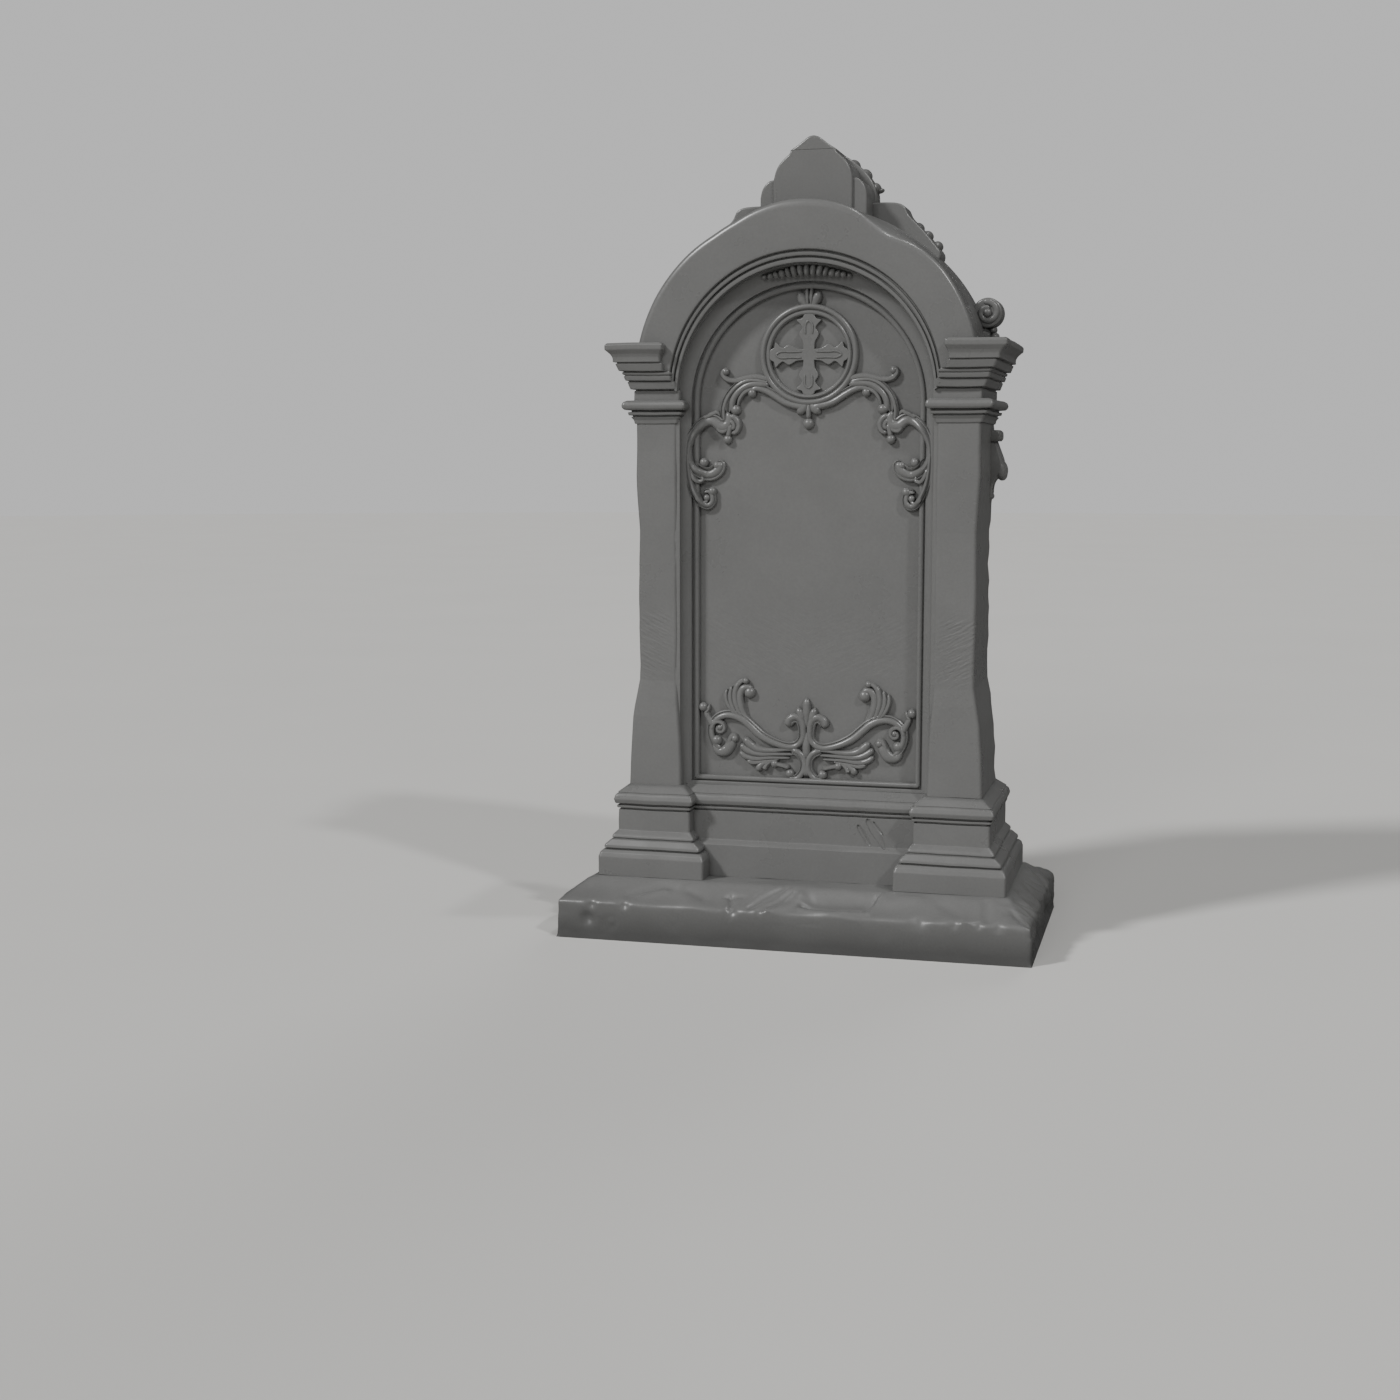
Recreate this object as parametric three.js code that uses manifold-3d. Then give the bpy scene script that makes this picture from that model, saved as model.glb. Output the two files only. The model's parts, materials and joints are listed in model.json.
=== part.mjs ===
// A carved headstone: a rough-hewn ground slab, a moulded plinth course and one carved stone
// with two piers, an arch, a sunk tablet, scrollwork, a cross medallion and a crest.
// Millimetres, +Z up. The origin is the middle of the slab's underside and the tablet faces -Y.
import * as THREE from 'three';
import { mergeVertices } from 'three/addons/utils/BufferGeometryUtils.js';
import Module from 'manifold-3d';

const wasm = await Module();
wasm.setup();

// Bed joint between two stones
const BED_JOINT = 0.3;
// Corners of one piece that lie closer than this are one corner
const WELD_DISTANCE = 0.001;

// Ground slab
const SLAB_HALF_LENGTH = 479;
const SLAB_HALF_DEPTH = 265;
const SLAB_EDGE_HEIGHT = 76;
const SLAB_WORN_EDGE = 8;
const SLAB_CHIP = 5;
const CHIP_WAVES = { long: 31, deep: 17, high: 9, longBeat: 53, deepBeat: 41 };
const SEAT_HALF_LENGTH = 426;
const SEAT_HALF_DEPTH = 184;
const SEAT_HEIGHT = 113;
// Share of the slope's run and rise at its bend
const SLOPE_RUN = 0.45;
const SLOPE_RISE = 0.55;
const LONG_SIDE_STEPS = 14;
const SHORT_SIDE_STEPS = 8;

// Plinth: pedestals under the piers and a recessed course between them
const DIE_INNER = 230;
const DIE_OUTER = 382;
const DIE_FRONT = 147;
const PLINTH_TOP = 299;
const PLINTH_BED = SEAT_HEIGHT + BED_JOINT;
const COURSE_HALF_LENGTH = 240;
// Height, outset sideways and outset forwards from the pedestal's die
const PEDESTAL_PROFILE = [
  [PLINTH_BED, 36, 28],
  [154, 36, 28],
  [162, 32, 24],
  [166, 27, 19],
  [167, 26, 20],
  [174, 25, 19],
  [186, 12, 12],
  [192, 10, 10],
  [204, 0, 0],
  [248, 0, 0],
  [250, 3, 3],
  [256, 3, 3],
  [259, 1, 1],
  [262, 6, 6],
  [269, 8, 8],
  [277, 6, 6],
  [282, 2, 3],
  [PLINTH_TOP, -19, -16],
];
// Height and distance from the middle plane to the face of the recessed course
const COURSE_PROFILE = [
  [PLINTH_BED, 124],
  [180, 124],
  [187, 113],
  [248, 113],
  [250, 116],
  [256, 116],
  [259, 114],
  [262, 119],
  [269, 121],
  [277, 119],
  [282, 115],
  [PLINTH_TOP, 99],
];

// Piers, worn by weather: height, inner side, outer side, distance from the middle plane to the face
const STONE_BED = PLINTH_TOP + BED_JOINT;
const PIER_ROWS = [
  [STONE_BED, 252, 363, 130],
  [390, 254, 359, 130],
  [440, 257, 355, 129],
  [480, 260, 348, 127],
  [516, 262, 343, 124],
  [680, 262, 343, 125],
  [820, 262, 342, 123],
  [890, 262, 348, 126],
  [980, 262, 347, 125],
  [1037, 262, 347, 125],
];
const PIER_FACE = -125;

// Neck moulding and capital: the same four columns
const NECK_ROWS = [
  [1036, 260, 350, 127],
  [1048, 252, 358, 133],
  [1051, 250, 361, 135],
  [1059, 248, 363, 138],
  [1062, 243, 369, 142],
  [1070, 241, 373, 144],
  [1077, 243, 370, 142],
  [1081, 248, 364, 136],
];
const CAPITAL_ROWS = [
  [1080, 254, 350, 130],
  [1102, 254, 350, 130],
  [1103, 259, 356, 139],
  [1119, 259, 361, 143],
  [1120, 267, 364, 147],
  [1137, 267, 370, 151],
  [1138, 283, 375, 155],
  [1155, 283, 381, 159],
  [1157, 287, 386, 161],
  [1170, 286, 389, 163],
  [1181, 280, 400, 170],
  [1190, 280, 400, 170],
  [1194, 283, 396, 167],
];

// Arch: radius and height of the centre of each edge, outside to inside
const RING_OUTER = { radius: 346, centre: 1113 };
const RING_INNER = { radius: 273, centre: 1096 };
const FILLET_INNER = { radius: 266, centre: 1092 };
const BAND_INNER = { radius: 258, centre: 1087 };
const FRAME_INNER = { radius: 238, centre: 1074 };
const RING_FRONT = -146;
const FILLET_FRONT = -142;
const BAND_FRONT = -138;
const COVE_STEPS = 3;
const RING_ROOT = { radius: 313, centre: 1096 };
const RING_FOOT = 1130;
const FILLET_FOOT = 1117;
const BAND_FOOT = 1102.5;
const ARCH_STEPS = 20;

// Tablet with its roll frame
const CORE_HALF_WIDTH = 330;
const CORE_BACK = 125;
const TABLET_FACE = -78;
const FRAME_FACE = -98;
const FRAME_ROLL_RADIUS = 9;
const FRAME_ROLL = { radius: 230.5, centre: 1074 };
const FRAME_ROLL_FRONT = -94;
const FRAME_ROLL_FACETS = 3;
const TABLET_FOOT = 312;
const SILL_TOP = 306;
const BACK_PANEL_HALF_WIDTH = 225;
const BACK_PANEL_CENTRE = 1085;
const BACK_PANEL_FOOT = 335;
const BACK_PANEL_DEPTH = 12;

// Relief on the tablet
const RELIEF_SINK = 4;
const RELIEF_ROOT = TABLET_FACE + RELIEF_SINK;
const RELIEF_HEIGHT = 11;
const CLIMB_HEIGHT = 15;
const CLIMB_START = 205;
const CLIMB_END = 238;
const STRAND_HALF_WIDTH = 5;
const STRAND_TAPER = 0.35;
const STRAND_STEP = 22;
const STRAND_LEAST_STEPS = 3;
const BUD_SINK = 3;
const BUD_FACETS = { around: 6, along: 3 };
const MEDALLION_HEIGHT = 1170;
const MEDALLION_RADIUS = 89;
const MEDALLION_ROLL = 8;
const MEDALLION_PROUD = 3;
const MEDALLION_FACETS = { across: 5, around: 28 };
const CROSS_ARMS = 4;
const CROSS_RISE = 9;

// Half of one cross arm's edge: distance along the arm and half-width there
const CROSS_ARM = [
  [11, 11],
  [25, 13],
  [40, 20],
  [52, 14],
  [67, 25],
  [71, 14],
  [79, 8],
  [83, 0],
];

// Scroll strands on the right half of the tablet: distance from the middle and height of the
// points that each strand runs through, from its root to its tip
const UPPER_STRANDS = [
  [[6, 1070], [49, 1079], [86, 1101], [108, 1105], [118, 1098], [112, 1092]],
  [[82, 1121], [105, 1126], [146, 1120], [168, 1124], [177, 1134], [168, 1141]],
  [[89, 1117], [126, 1119], [161, 1095], [174, 1060], [172, 1040]],
  [[84, 1111], [128, 1108], [157, 1082], [159, 1063], [148, 1058]],
  [[167, 1056], [166, 1040], [176, 1031], [192, 1041], [208, 1043], [232, 1022], [245, 984]],
  [[245, 984], [243, 960], [226, 937], [204, 931], [185, 941], [184, 954]],
  [[158, 1046], [145, 1036], [149, 1020]],
  [[246, 978], [243, 935], [231, 893], [214, 871], [199, 880], [203, 895], [216, 892]],
  [[237, 942], [230, 924], [218, 922]],
];
const LOWER_STRANDS = [
  [[35, 427], [33, 437], [22, 441], [12, 432], [9, 413], [16, 391], [38, 383], [78, 395]],
  [[78, 395], [114, 421], [150, 443], [174, 442], [195, 428], [200, 408], [194, 386], [178, 369]],
  [[123, 423], [145, 462], [148, 486], [140, 506], [129, 513]],
  [[136, 436], [159, 468], [162, 497]],
  [[116, 419], [138, 468], [134, 493], [121, 499]],
  [[212, 450], [199, 422]],
  [[178, 372], [159, 385], [154, 397], [145, 391]],
  [[28, 373], [9, 359], [7, 338], [20, 320], [36, 320]],
  [[20, 373], [76, 372], [108, 377], [125, 389]],
  [[30, 363], [101, 362], [131, 381]],
  [[82, 354], [102, 340], [98, 330]],
];
// Round buds on the right half: distance from the middle, height and radius
const BUDS = [
  [113, 1094, 7],
  [216, 959, 10],
  [196, 899, 7],
  [166, 1006, 8],
  [152, 1063, 8],
  [28, 398, 7],
  [182, 417, 13],
  [119, 487, 11],
  [215, 457, 9],
  [187, 388, 13],
  [28, 336, 9],
  [65, 345, 8],
  [46, 341, 8],
  [18, 1055, 8],
];
// Leaves on the middle line: foot and tip (distance from the middle, height), half-width
const MIDDLE_LEAVES = [
  [[0, 436], [0, 477], 6],
  [[5, 438], [14, 458], 5],
  [[0, 408], [0, 362], 6],
  [[0, 1262], [0, 1302], 5],
  [[4, 1262], [13, 1300], 5],
  [[8, 1262], [23, 1295], 5],
  [[6, 1073], [16, 1058], 5],
];
const DROP = { height: 1036, radius: 10, stem: 1078 };

// Facets of a rounded leaf lobe
const LOBE_FACETS = { around: 5, along: 4 };

// Leaf spray on the cove over the tablet
const SPRAY_LOBES = 3;
const SPRAY_PITCH = 0.1;
const SPRAY_RADIUS = 248;
const SPRAY_LOBE = { halfWidth: 9, halfDepth: 12, halfHeight: 15, shrink: 1.5 };

// Crest: a pointed hood over a round-shouldered tier, on lower shoulders
const CREST_TIP = 1598;
const HOOD = { halfWidth: 46, foot: 1571, lip: 1559, swell: 26, droop: 6 };
const TIER = { halfWidth: 80, foot: 1515, swell: 1548 };
const SHOULDER = { halfWidth: 108, flat: 88, top: 1514, foot: 1480, swell: 1506 };
const CREST_FOOT = 1420;
const CREST_CURVE_STEPS = 5;
const CREST_FRONT = -60;
const CREST_BACK = 78;
const SHOULDER_FRONT = -54;
const SHOULDER_BACK = 82;
// Wings that slope down behind the ring: distance from the middle and height
const WING_OUTLINE = [
  [60, 1400],
  [60, 1471],
  [156, 1471],
  [173, 1463],
  [180, 1446],
  [216, 1410],
  [246, 1372],
  [225, 1330],
];
const WING_FRONT = 10;
const WING_BACK = 88;
// Leaves along the crest's rear edge: distance from the middle, height and radius
const CREST_LEAVES = [
  [58, 1556, 14],
  [80, 1532, 16],
  [101, 1503, 16],
  [190, 1428, 14],
  [212, 1407, 13],
  [229, 1389, 12],
];
const CREST_LEAF_MIDDLE = 66;
const CREST_LEAF_HALF_DEPTH = 20;

// Volutes behind the arch's feet
const VOLUTE = { across: 336, height: 1255, radius: 31, front: 48, back: 104 };
const VOLUTE_FACETS = 12;
const SPIRAL = { turns: 1.6, start: 0.25, shrink: 0.8, ridge: 5, rise: 6, root: 3, steps: 12 };
const VOLUTE_FOOT = { inner: 300, outer: 352, front: 54, back: 98, foot: 1190, top: 1216 };

// Leaf brackets on the rear of the piers' sides
const BRACKET_ROOT = 330;
const BRACKET_MIDDLE = 85;
const BRACKET_HALF_DEPTH = 37;
const BRACKET_CROWN = 8;
const ABACUS = { foot: 1003, top: 1022, outer: 366 };
// The curling leaf, from its stem up to its root: height, reach and share of the full depth
const BRACKET_ROWS = [
  [882, 342, 0.8],
  [890, 351, 0.8],
  [897, 351, 0.8],
  [906, 352, 0.8],
  [926, 358, 1],
  [929, 372, 1],
  [943, 378, 1],
  [963, 371, 1],
  [991, 363, 1],
  [1004, 360, 1],
];

// Stone colours
const TOOLED_STONE = new THREE.MeshStandardMaterial({ color: 0x7a7a78, roughness: 0.62, metalness: 0 });
const CARVED_STONE = new THREE.MeshStandardMaterial({ color: 0x828280, roughness: 0.45, metalness: 0 });

// A body through rings of corners, closed at both ends. The outline caps the ends.
function loft(rings, outline) {
  const corners = rings[0].length;
  const last = (rings.length - 1) * corners;
  const index = [];
  for (let start = 0; start < last; start += corners) {
    for (let corner = 0; corner < corners; corner += 1) {
      const here = start + corner;
      const next = start + (corner + 1) % corners;
      index.push(here, next, next + corners, here, next + corners, here + corners);
    }
  }
  const contour = outline.map(([u, v]) => new THREE.Vector2(u, v));
  const turn = Math.sign(THREE.ShapeUtils.area(contour));
  for (const [a, b, c] of THREE.ShapeUtils.triangulateShape(contour, [])) {
    const cap = turn > 0 ? [a, b, c] : [a, c, b];
    index.push(cap[0], cap[2], cap[1]);
    index.push(last + cap[0], last + cap[1], last + cap[2]);
  }
  const geometry = new THREE.BufferGeometry();
  geometry.setAttribute('position', new THREE.Float32BufferAttribute(rings.flat(2), 3));
  geometry.setIndex(index);
  return geometry;
}

// Six times the volume inside the triangles, negative where the faces point in
function signedVolume(points, triangles) {
  const [a, b, c] = [new THREE.Vector3(), new THREE.Vector3(), new THREE.Vector3()];
  let total = 0;
  for (let start = 0; start < triangles.length; start += 3) {
    a.fromArray(points, 3 * triangles[start]);
    b.fromArray(points, 3 * triangles[start + 1]);
    c.fromArray(points, 3 * triangles[start + 2]);
    total += a.dot(b.cross(c));
  }
  return total;
}

function toSolid(geometry) {
  const bare = new THREE.BufferGeometry();
  bare.setAttribute('position', geometry.getAttribute('position'));
  bare.setIndex(geometry.getIndex());
  const merged = mergeVertices(bare, WELD_DISTANCE);
  const vertProperties = new Float32Array(merged.getAttribute('position').array);
  const triVerts = new Uint32Array(merged.getIndex().array);
  if (signedVolume(vertProperties, triVerts) < 0) {
    triVerts.reverse();
  }
  return new wasm.Manifold(new wasm.Mesh({ numProp: 3, vertProperties, triVerts }));
}

function join(solids) {
  return solids.reduce((whole, solid) => whole.add(solid));
}

function bothSides(build) {
  return [...build(1), ...build(-1)];
}

function toMesh(name, solid, material) {
  const { vertProperties, triVerts } = solid.getMesh();
  const geometry = new THREE.BufferGeometry();
  geometry.setAttribute('position', new THREE.BufferAttribute(new Float32Array(vertProperties), 3));
  geometry.setIndex(new THREE.BufferAttribute(new Uint32Array(triVerts), 1));
  geometry.computeVertexNormals();
  const mesh = new THREE.Mesh(geometry, material);
  mesh.name = name;
  return mesh;
}

// A stack of upright rectangles, one for each row of height, left, right and depth either way
function stack(rows) {
  const rings = rows.map(([height, left, right, depth]) => [
    [left, -depth, height],
    [right, -depth, height],
    [right, depth, height],
    [left, depth, height],
  ]);
  return toSolid(loft(rings, rings[0]));
}

// A stack on one side of the middle: rows of height, inner side, outer side and depth either way
function sideStack(rows, side) {
  return stack(rows.map(([height, inner, outer, depth]) => [height, side * inner, side * outer, depth]));
}

function block(left, right, front, back, foot, top) {
  const box = new THREE.BoxGeometry(right - left, back - front, top - foot);
  box.translate((left + right) / 2, (front + back) / 2, (foot + top) / 2);
  return toSolid(box);
}

// A block on one side of the middle
function sideBlock(side, { inner, outer, front, back, foot, top }) {
  const [left, right] = side > 0 ? [inner, outer] : [-outer, -inner];
  return block(left, right, front, back, foot, top);
}

// An upright plate with the outline of a shape drawn across (x) and up (z)
function plate(shape, front, back, curveSegments = ARCH_STEPS) {
  const depth = back - front;
  const geometry = new THREE.ExtrudeGeometry(shape, { depth, bevelEnabled: false, curveSegments });
  geometry.rotateX(Math.PI / 2);
  geometry.translate(0, back, 0);
  return toSolid(geometry);
}

function archShape(halfWidth, centre, foot) {
  const shape = new THREE.Shape();
  shape.moveTo(-halfWidth, foot);
  shape.lineTo(halfWidth, foot);
  shape.absarc(0, centre, halfWidth, 0, Math.PI, false);
  shape.closePath();
  return shape;
}

// A moulding that follows the arch down to a foot, on straight legs below the arch's centre.
// Each corner of the section has an arch edge and a place from front to back.
function archMoulding(section, foot) {
  const startAngle = ({ radius, centre }) => Math.asin(Math.max(0, (foot - centre) / radius));
  const rings = [];
  for (let step = 0; step <= ARCH_STEPS; step += 1) {
    rings.push(section.map(([edge, depth]) => {
      const start = startAngle(edge);
      const angle = start + (Math.PI - 2 * start) * (step / ARCH_STEPS);
      return [edge.radius * Math.cos(angle), depth, edge.centre + edge.radius * Math.sin(angle)];
    }));
  }
  if (section.every(([edge]) => edge.centre > foot)) {
    rings.unshift(section.map(([edge, depth]) => [edge.radius, depth, foot]));
    rings.push(section.map(([edge, depth]) => [-edge.radius, depth, foot]));
  }
  return toSolid(loft(rings, section.map(([edge, depth]) => [edge.radius, depth])));
}

function widen(edge, extra) {
  return { radius: edge.radius + extra, centre: edge.centre };
}

// The slab's outline at one height, chipped by up to a given depth
function slabRing(halfLength, halfDepth, height, chip) {
  const ring = [];
  const addSide = (fromX, fromY, toX, toY, steps) => {
    for (let step = 0; step < steps; step += 1) {
      const share = step / steps;
      const x = fromX + (toX - fromX) * share;
      const y = fromY + (toY - fromY) * share;
      const wave = Math.sin(x / CHIP_WAVES.long + y / CHIP_WAVES.deep + height / CHIP_WAVES.high);
      const beat = Math.cos(x / CHIP_WAVES.longBeat - y / CHIP_WAVES.deepBeat);
      const bite = (chip * (1 + wave * beat)) / 2;
      const reach = Math.hypot(x, y);
      ring.push([x - (bite * x) / reach, y - (bite * y) / reach, height]);
    }
  };
  addSide(-halfLength, -halfDepth, halfLength, -halfDepth, LONG_SIDE_STEPS);
  addSide(halfLength, -halfDepth, halfLength, halfDepth, SHORT_SIDE_STEPS);
  addSide(halfLength, halfDepth, -halfLength, halfDepth, LONG_SIDE_STEPS);
  addSide(-halfLength, halfDepth, -halfLength, -halfDepth, SHORT_SIDE_STEPS);
  return ring;
}

function slab() {
  const slopeLength = THREE.MathUtils.lerp(SLAB_HALF_LENGTH, SEAT_HALF_LENGTH, SLOPE_RUN);
  const slopeDepth = THREE.MathUtils.lerp(SLAB_HALF_DEPTH, SEAT_HALF_DEPTH, SLOPE_RUN);
  const slopeHeight = THREE.MathUtils.lerp(SLAB_EDGE_HEIGHT, SEAT_HEIGHT, SLOPE_RISE);
  const edgeLength = SLAB_HALF_LENGTH - SLAB_WORN_EDGE;
  const edgeDepth = SLAB_HALF_DEPTH - SLAB_WORN_EDGE;
  const rings = [
    slabRing(SLAB_HALF_LENGTH, SLAB_HALF_DEPTH, 0, 0),
    slabRing(SLAB_HALF_LENGTH, SLAB_HALF_DEPTH, SLAB_EDGE_HEIGHT / 2, SLAB_CHIP),
    slabRing(SLAB_HALF_LENGTH, SLAB_HALF_DEPTH, SLAB_EDGE_HEIGHT - SLAB_WORN_EDGE, SLAB_CHIP),
    slabRing(edgeLength, edgeDepth, SLAB_EDGE_HEIGHT, SLAB_CHIP),
    slabRing(slopeLength, slopeDepth, slopeHeight, SLAB_CHIP),
    slabRing(SEAT_HALF_LENGTH, SEAT_HALF_DEPTH, SEAT_HEIGHT, 0),
  ];
  return toSolid(loft(rings, rings[0]));
}

function plinth() {
  const pedestal = (side) => [sideStack(
    PEDESTAL_PROFILE.map(([height, sideways, forwards]) => [
      height,
      DIE_INNER - sideways,
      DIE_OUTER + sideways,
      DIE_FRONT + forwards,
    ]),
    side,
  )];
  const course = COURSE_PROFILE.map(([height, face]) => [
    height,
    -COURSE_HALF_LENGTH,
    COURSE_HALF_LENGTH,
    face,
  ]);
  return join([stack(course), ...bothSides(pedestal)]);
}

// The cove's corners, from the band's edge in to the flat beside the roll frame
function coveSection() {
  const section = [];
  for (let step = 0; step <= COVE_STEPS; step += 1) {
    const angle = (Math.PI / 2) * (step / COVE_STEPS);
    const share = 1 - Math.cos(angle);
    const edge = {
      radius: THREE.MathUtils.lerp(BAND_INNER.radius, FRAME_INNER.radius, share),
      centre: THREE.MathUtils.lerp(BAND_INNER.centre, FRAME_INNER.centre, share),
    };
    section.push([edge, THREE.MathUtils.lerp(PIER_FACE, FRAME_FACE, Math.sin(angle))]);
  }
  return section;
}

// The roll frame's half-round front and its root in the tablet
function rollSection() {
  const corner = (angle) => [
    widen(FRAME_ROLL, FRAME_ROLL_RADIUS * Math.cos(angle)),
    FRAME_ROLL_FRONT + FRAME_ROLL_RADIUS * (1 + Math.sin(angle)),
  ];
  const section = [];
  for (let facet = 0; facet <= FRAME_ROLL_FACETS; facet += 1) {
    section.push(corner(Math.PI * (1 + facet / FRAME_ROLL_FACETS)));
  }
  const outerRoot = [widen(FRAME_ROLL, FRAME_ROLL_RADIUS), RELIEF_ROOT];
  const innerRoot = [widen(FRAME_ROLL, -FRAME_ROLL_RADIUS), RELIEF_ROOT];
  return [...section, outerRoot, innerRoot];
}

// A plain square-edged step of the arch
function archStep(inner, front, foot) {
  return archMoulding([[RING_ROOT, front], [inner, front], [inner, 0], [RING_ROOT, 0]], foot);
}

// Ring, fillet, band, cove and roll frame around the tablet, from the outside in
function archMouldings() {
  const ring = [
    [RING_OUTER, RING_FRONT],
    [RING_INNER, RING_FRONT],
    [RING_INNER, 0],
    [RING_ROOT, CORE_BACK],
    [RING_OUTER, CORE_BACK],
  ];
  const cove = [[RING_ROOT, PIER_FACE], ...coveSection(), [FRAME_INNER, 0], [RING_ROOT, 0]];
  const roll = rollSection();
  const rail = roll.map(([edge, depth]) => [depth, TABLET_FOOT + edge.radius - FRAME_ROLL.radius]);
  const railEnd = (across) => rail.map(([depth, height]) => [across, depth, height]);
  return [
    archMoulding(ring, RING_FOOT),
    archStep(FILLET_INNER, FILLET_FRONT, FILLET_FOOT),
    archStep(BAND_INNER, BAND_FRONT, BAND_FOOT),
    archMoulding(cove, STONE_BED),
    archMoulding(roll, TABLET_FOOT),
    toSolid(loft([railEnd(-FRAME_ROLL.radius), railEnd(FRAME_ROLL.radius)], rail)),
    block(-CORE_HALF_WIDTH, CORE_HALF_WIDTH, FRAME_FACE, 0, STONE_BED, SILL_TOP),
  ];
}

// The stone behind the tablet, sunk on the back by a plain arched panel
function core() {
  const body = plate(archShape(CORE_HALF_WIDTH, RING_OUTER.centre, STONE_BED), TABLET_FACE, CORE_BACK);
  const sunk = archShape(BACK_PANEL_HALF_WIDTH, BACK_PANEL_CENTRE, BACK_PANEL_FOOT);
  return body.subtract(plate(sunk, CORE_BACK - BACK_PANEL_DEPTH, CORE_BACK + BACK_PANEL_DEPTH));
}

function pier(side) {
  return [PIER_ROWS, NECK_ROWS, CAPITAL_ROWS].map((rows) => sideStack(rows, side));
}

// How far the relief stands off the tablet: strands climb over the roll frame near the piers
function reliefFront(across) {
  const climb = THREE.MathUtils.smoothstep(Math.abs(across), CLIMB_START, CLIMB_END);
  return TABLET_FACE - RELIEF_HEIGHT - CLIMB_HEIGHT * climb;
}

// A strand of scrollwork that tapers towards its tip
function strand(points, side, halfWidth = STRAND_HALF_WIDTH) {
  const path = new THREE.CatmullRomCurve3(
    points.map(([across, height]) => new THREE.Vector3(side * across, 0, height)),
  );
  const steps = Math.max(STRAND_LEAST_STEPS, Math.round(path.getLength() / STRAND_STEP));
  const rings = [];
  for (let step = 0; step <= steps; step += 1) {
    const place = path.getPointAt(step / steps);
    const along = path.getTangentAt(step / steps);
    const width = halfWidth * (1 - STRAND_TAPER * (step / steps));
    const front = reliefFront(place.x);
    const corner = (share, depth) => [
      place.x - along.z * width * share,
      depth,
      place.z + along.x * width * share,
    ];
    rings.push([corner(-1, RELIEF_ROOT), corner(0, front), corner(1, RELIEF_ROOT)]);
  }
  return toSolid(loft(rings, [[-1, 0], [0, 1], [1, 0]]));
}

function bud(across, height, radius) {
  const ball = new THREE.SphereGeometry(radius, BUD_FACETS.around, BUD_FACETS.along);
  ball.rotateX(Math.PI / 2);
  ball.translate(across, reliefFront(across) + RELIEF_HEIGHT - BUD_SINK, height);
  return toSolid(ball);
}

function leaf([root, tip, halfWidth], side) {
  const middle = [(root[0] + tip[0]) / 2, (root[1] + tip[1]) / 2];
  return strand([root, middle, tip], side, halfWidth);
}

function scrollwork(side) {
  return [
    ...[...UPPER_STRANDS, ...LOWER_STRANDS].map((points) => strand(points, side)),
    ...BUDS.map(([across, height, radius]) => bud(side * across, height, radius)),
    ...MIDDLE_LEAVES.map((row) => leaf(row, side)),
  ];
}

function medallion() {
  const { across, around } = MEDALLION_FACETS;
  const ring = new THREE.TorusGeometry(MEDALLION_RADIUS, MEDALLION_ROLL, across, around);
  ring.rotateX(Math.PI / 2);
  ring.translate(0, TABLET_FACE - MEDALLION_PROUD, MEDALLION_HEIGHT);
  const outline = [];
  const otherHalf = CROSS_ARM.slice(1, -1).reverse().map(([along, half]) => [along, -half]);
  for (let arm = 0; arm < CROSS_ARMS; arm += 1) {
    const turn = (2 * Math.PI * arm) / CROSS_ARMS;
    for (const [along, half] of [...CROSS_ARM, ...otherHalf]) {
      outline.push(new THREE.Vector2(
        along * Math.cos(turn) + half * Math.sin(turn),
        MEDALLION_HEIGHT + along * Math.sin(turn) - half * Math.cos(turn),
      ));
    }
  }
  const cross = plate(new THREE.Shape(outline), TABLET_FACE - CROSS_RISE, RELIEF_ROOT);
  return [
    toSolid(ring),
    cross,
    strand([[0, DROP.stem], [0, (DROP.stem + DROP.height) / 2], [0, DROP.height]], 1),
    bud(0, DROP.height, DROP.radius),
  ];
}

// A fan of small leaves on the cove at the crown of the arch
function spray() {
  const lobes = [];
  for (let place = -SPRAY_LOBES; place <= SPRAY_LOBES; place += 1) {
    const angle = Math.PI / 2 - place * SPRAY_PITCH;
    const lobe = new THREE.SphereGeometry(1, LOBE_FACETS.around, LOBE_FACETS.along);
    lobe.scale(
      SPRAY_LOBE.halfWidth,
      SPRAY_LOBE.halfDepth,
      SPRAY_LOBE.halfHeight - SPRAY_LOBE.shrink * Math.abs(place),
    );
    lobe.rotateY(Math.PI / 2 - angle);
    lobe.translate(
      SPRAY_RADIUS * Math.cos(angle),
      FRAME_FACE,
      BAND_INNER.centre + SPRAY_RADIUS * Math.sin(angle),
    );
    lobes.push(toSolid(lobe));
  }
  return lobes;
}

// The hood and tier, drawn down one side and up the other
function crestShape() {
  const shape = new THREE.Shape();
  shape.moveTo(0, CREST_TIP);
  shape.quadraticCurveTo(-HOOD.swell, CREST_TIP - HOOD.droop, -HOOD.halfWidth, HOOD.foot);
  shape.lineTo(-HOOD.halfWidth, HOOD.lip);
  shape.quadraticCurveTo(-TIER.halfWidth, TIER.swell, -TIER.halfWidth, TIER.foot);
  shape.lineTo(-TIER.halfWidth, CREST_FOOT);
  shape.lineTo(TIER.halfWidth, CREST_FOOT);
  shape.lineTo(TIER.halfWidth, TIER.foot);
  shape.quadraticCurveTo(TIER.halfWidth, TIER.swell, HOOD.halfWidth, HOOD.lip);
  shape.lineTo(HOOD.halfWidth, HOOD.foot);
  shape.quadraticCurveTo(HOOD.swell, CREST_TIP - HOOD.droop, 0, CREST_TIP);
  return shape;
}

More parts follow.
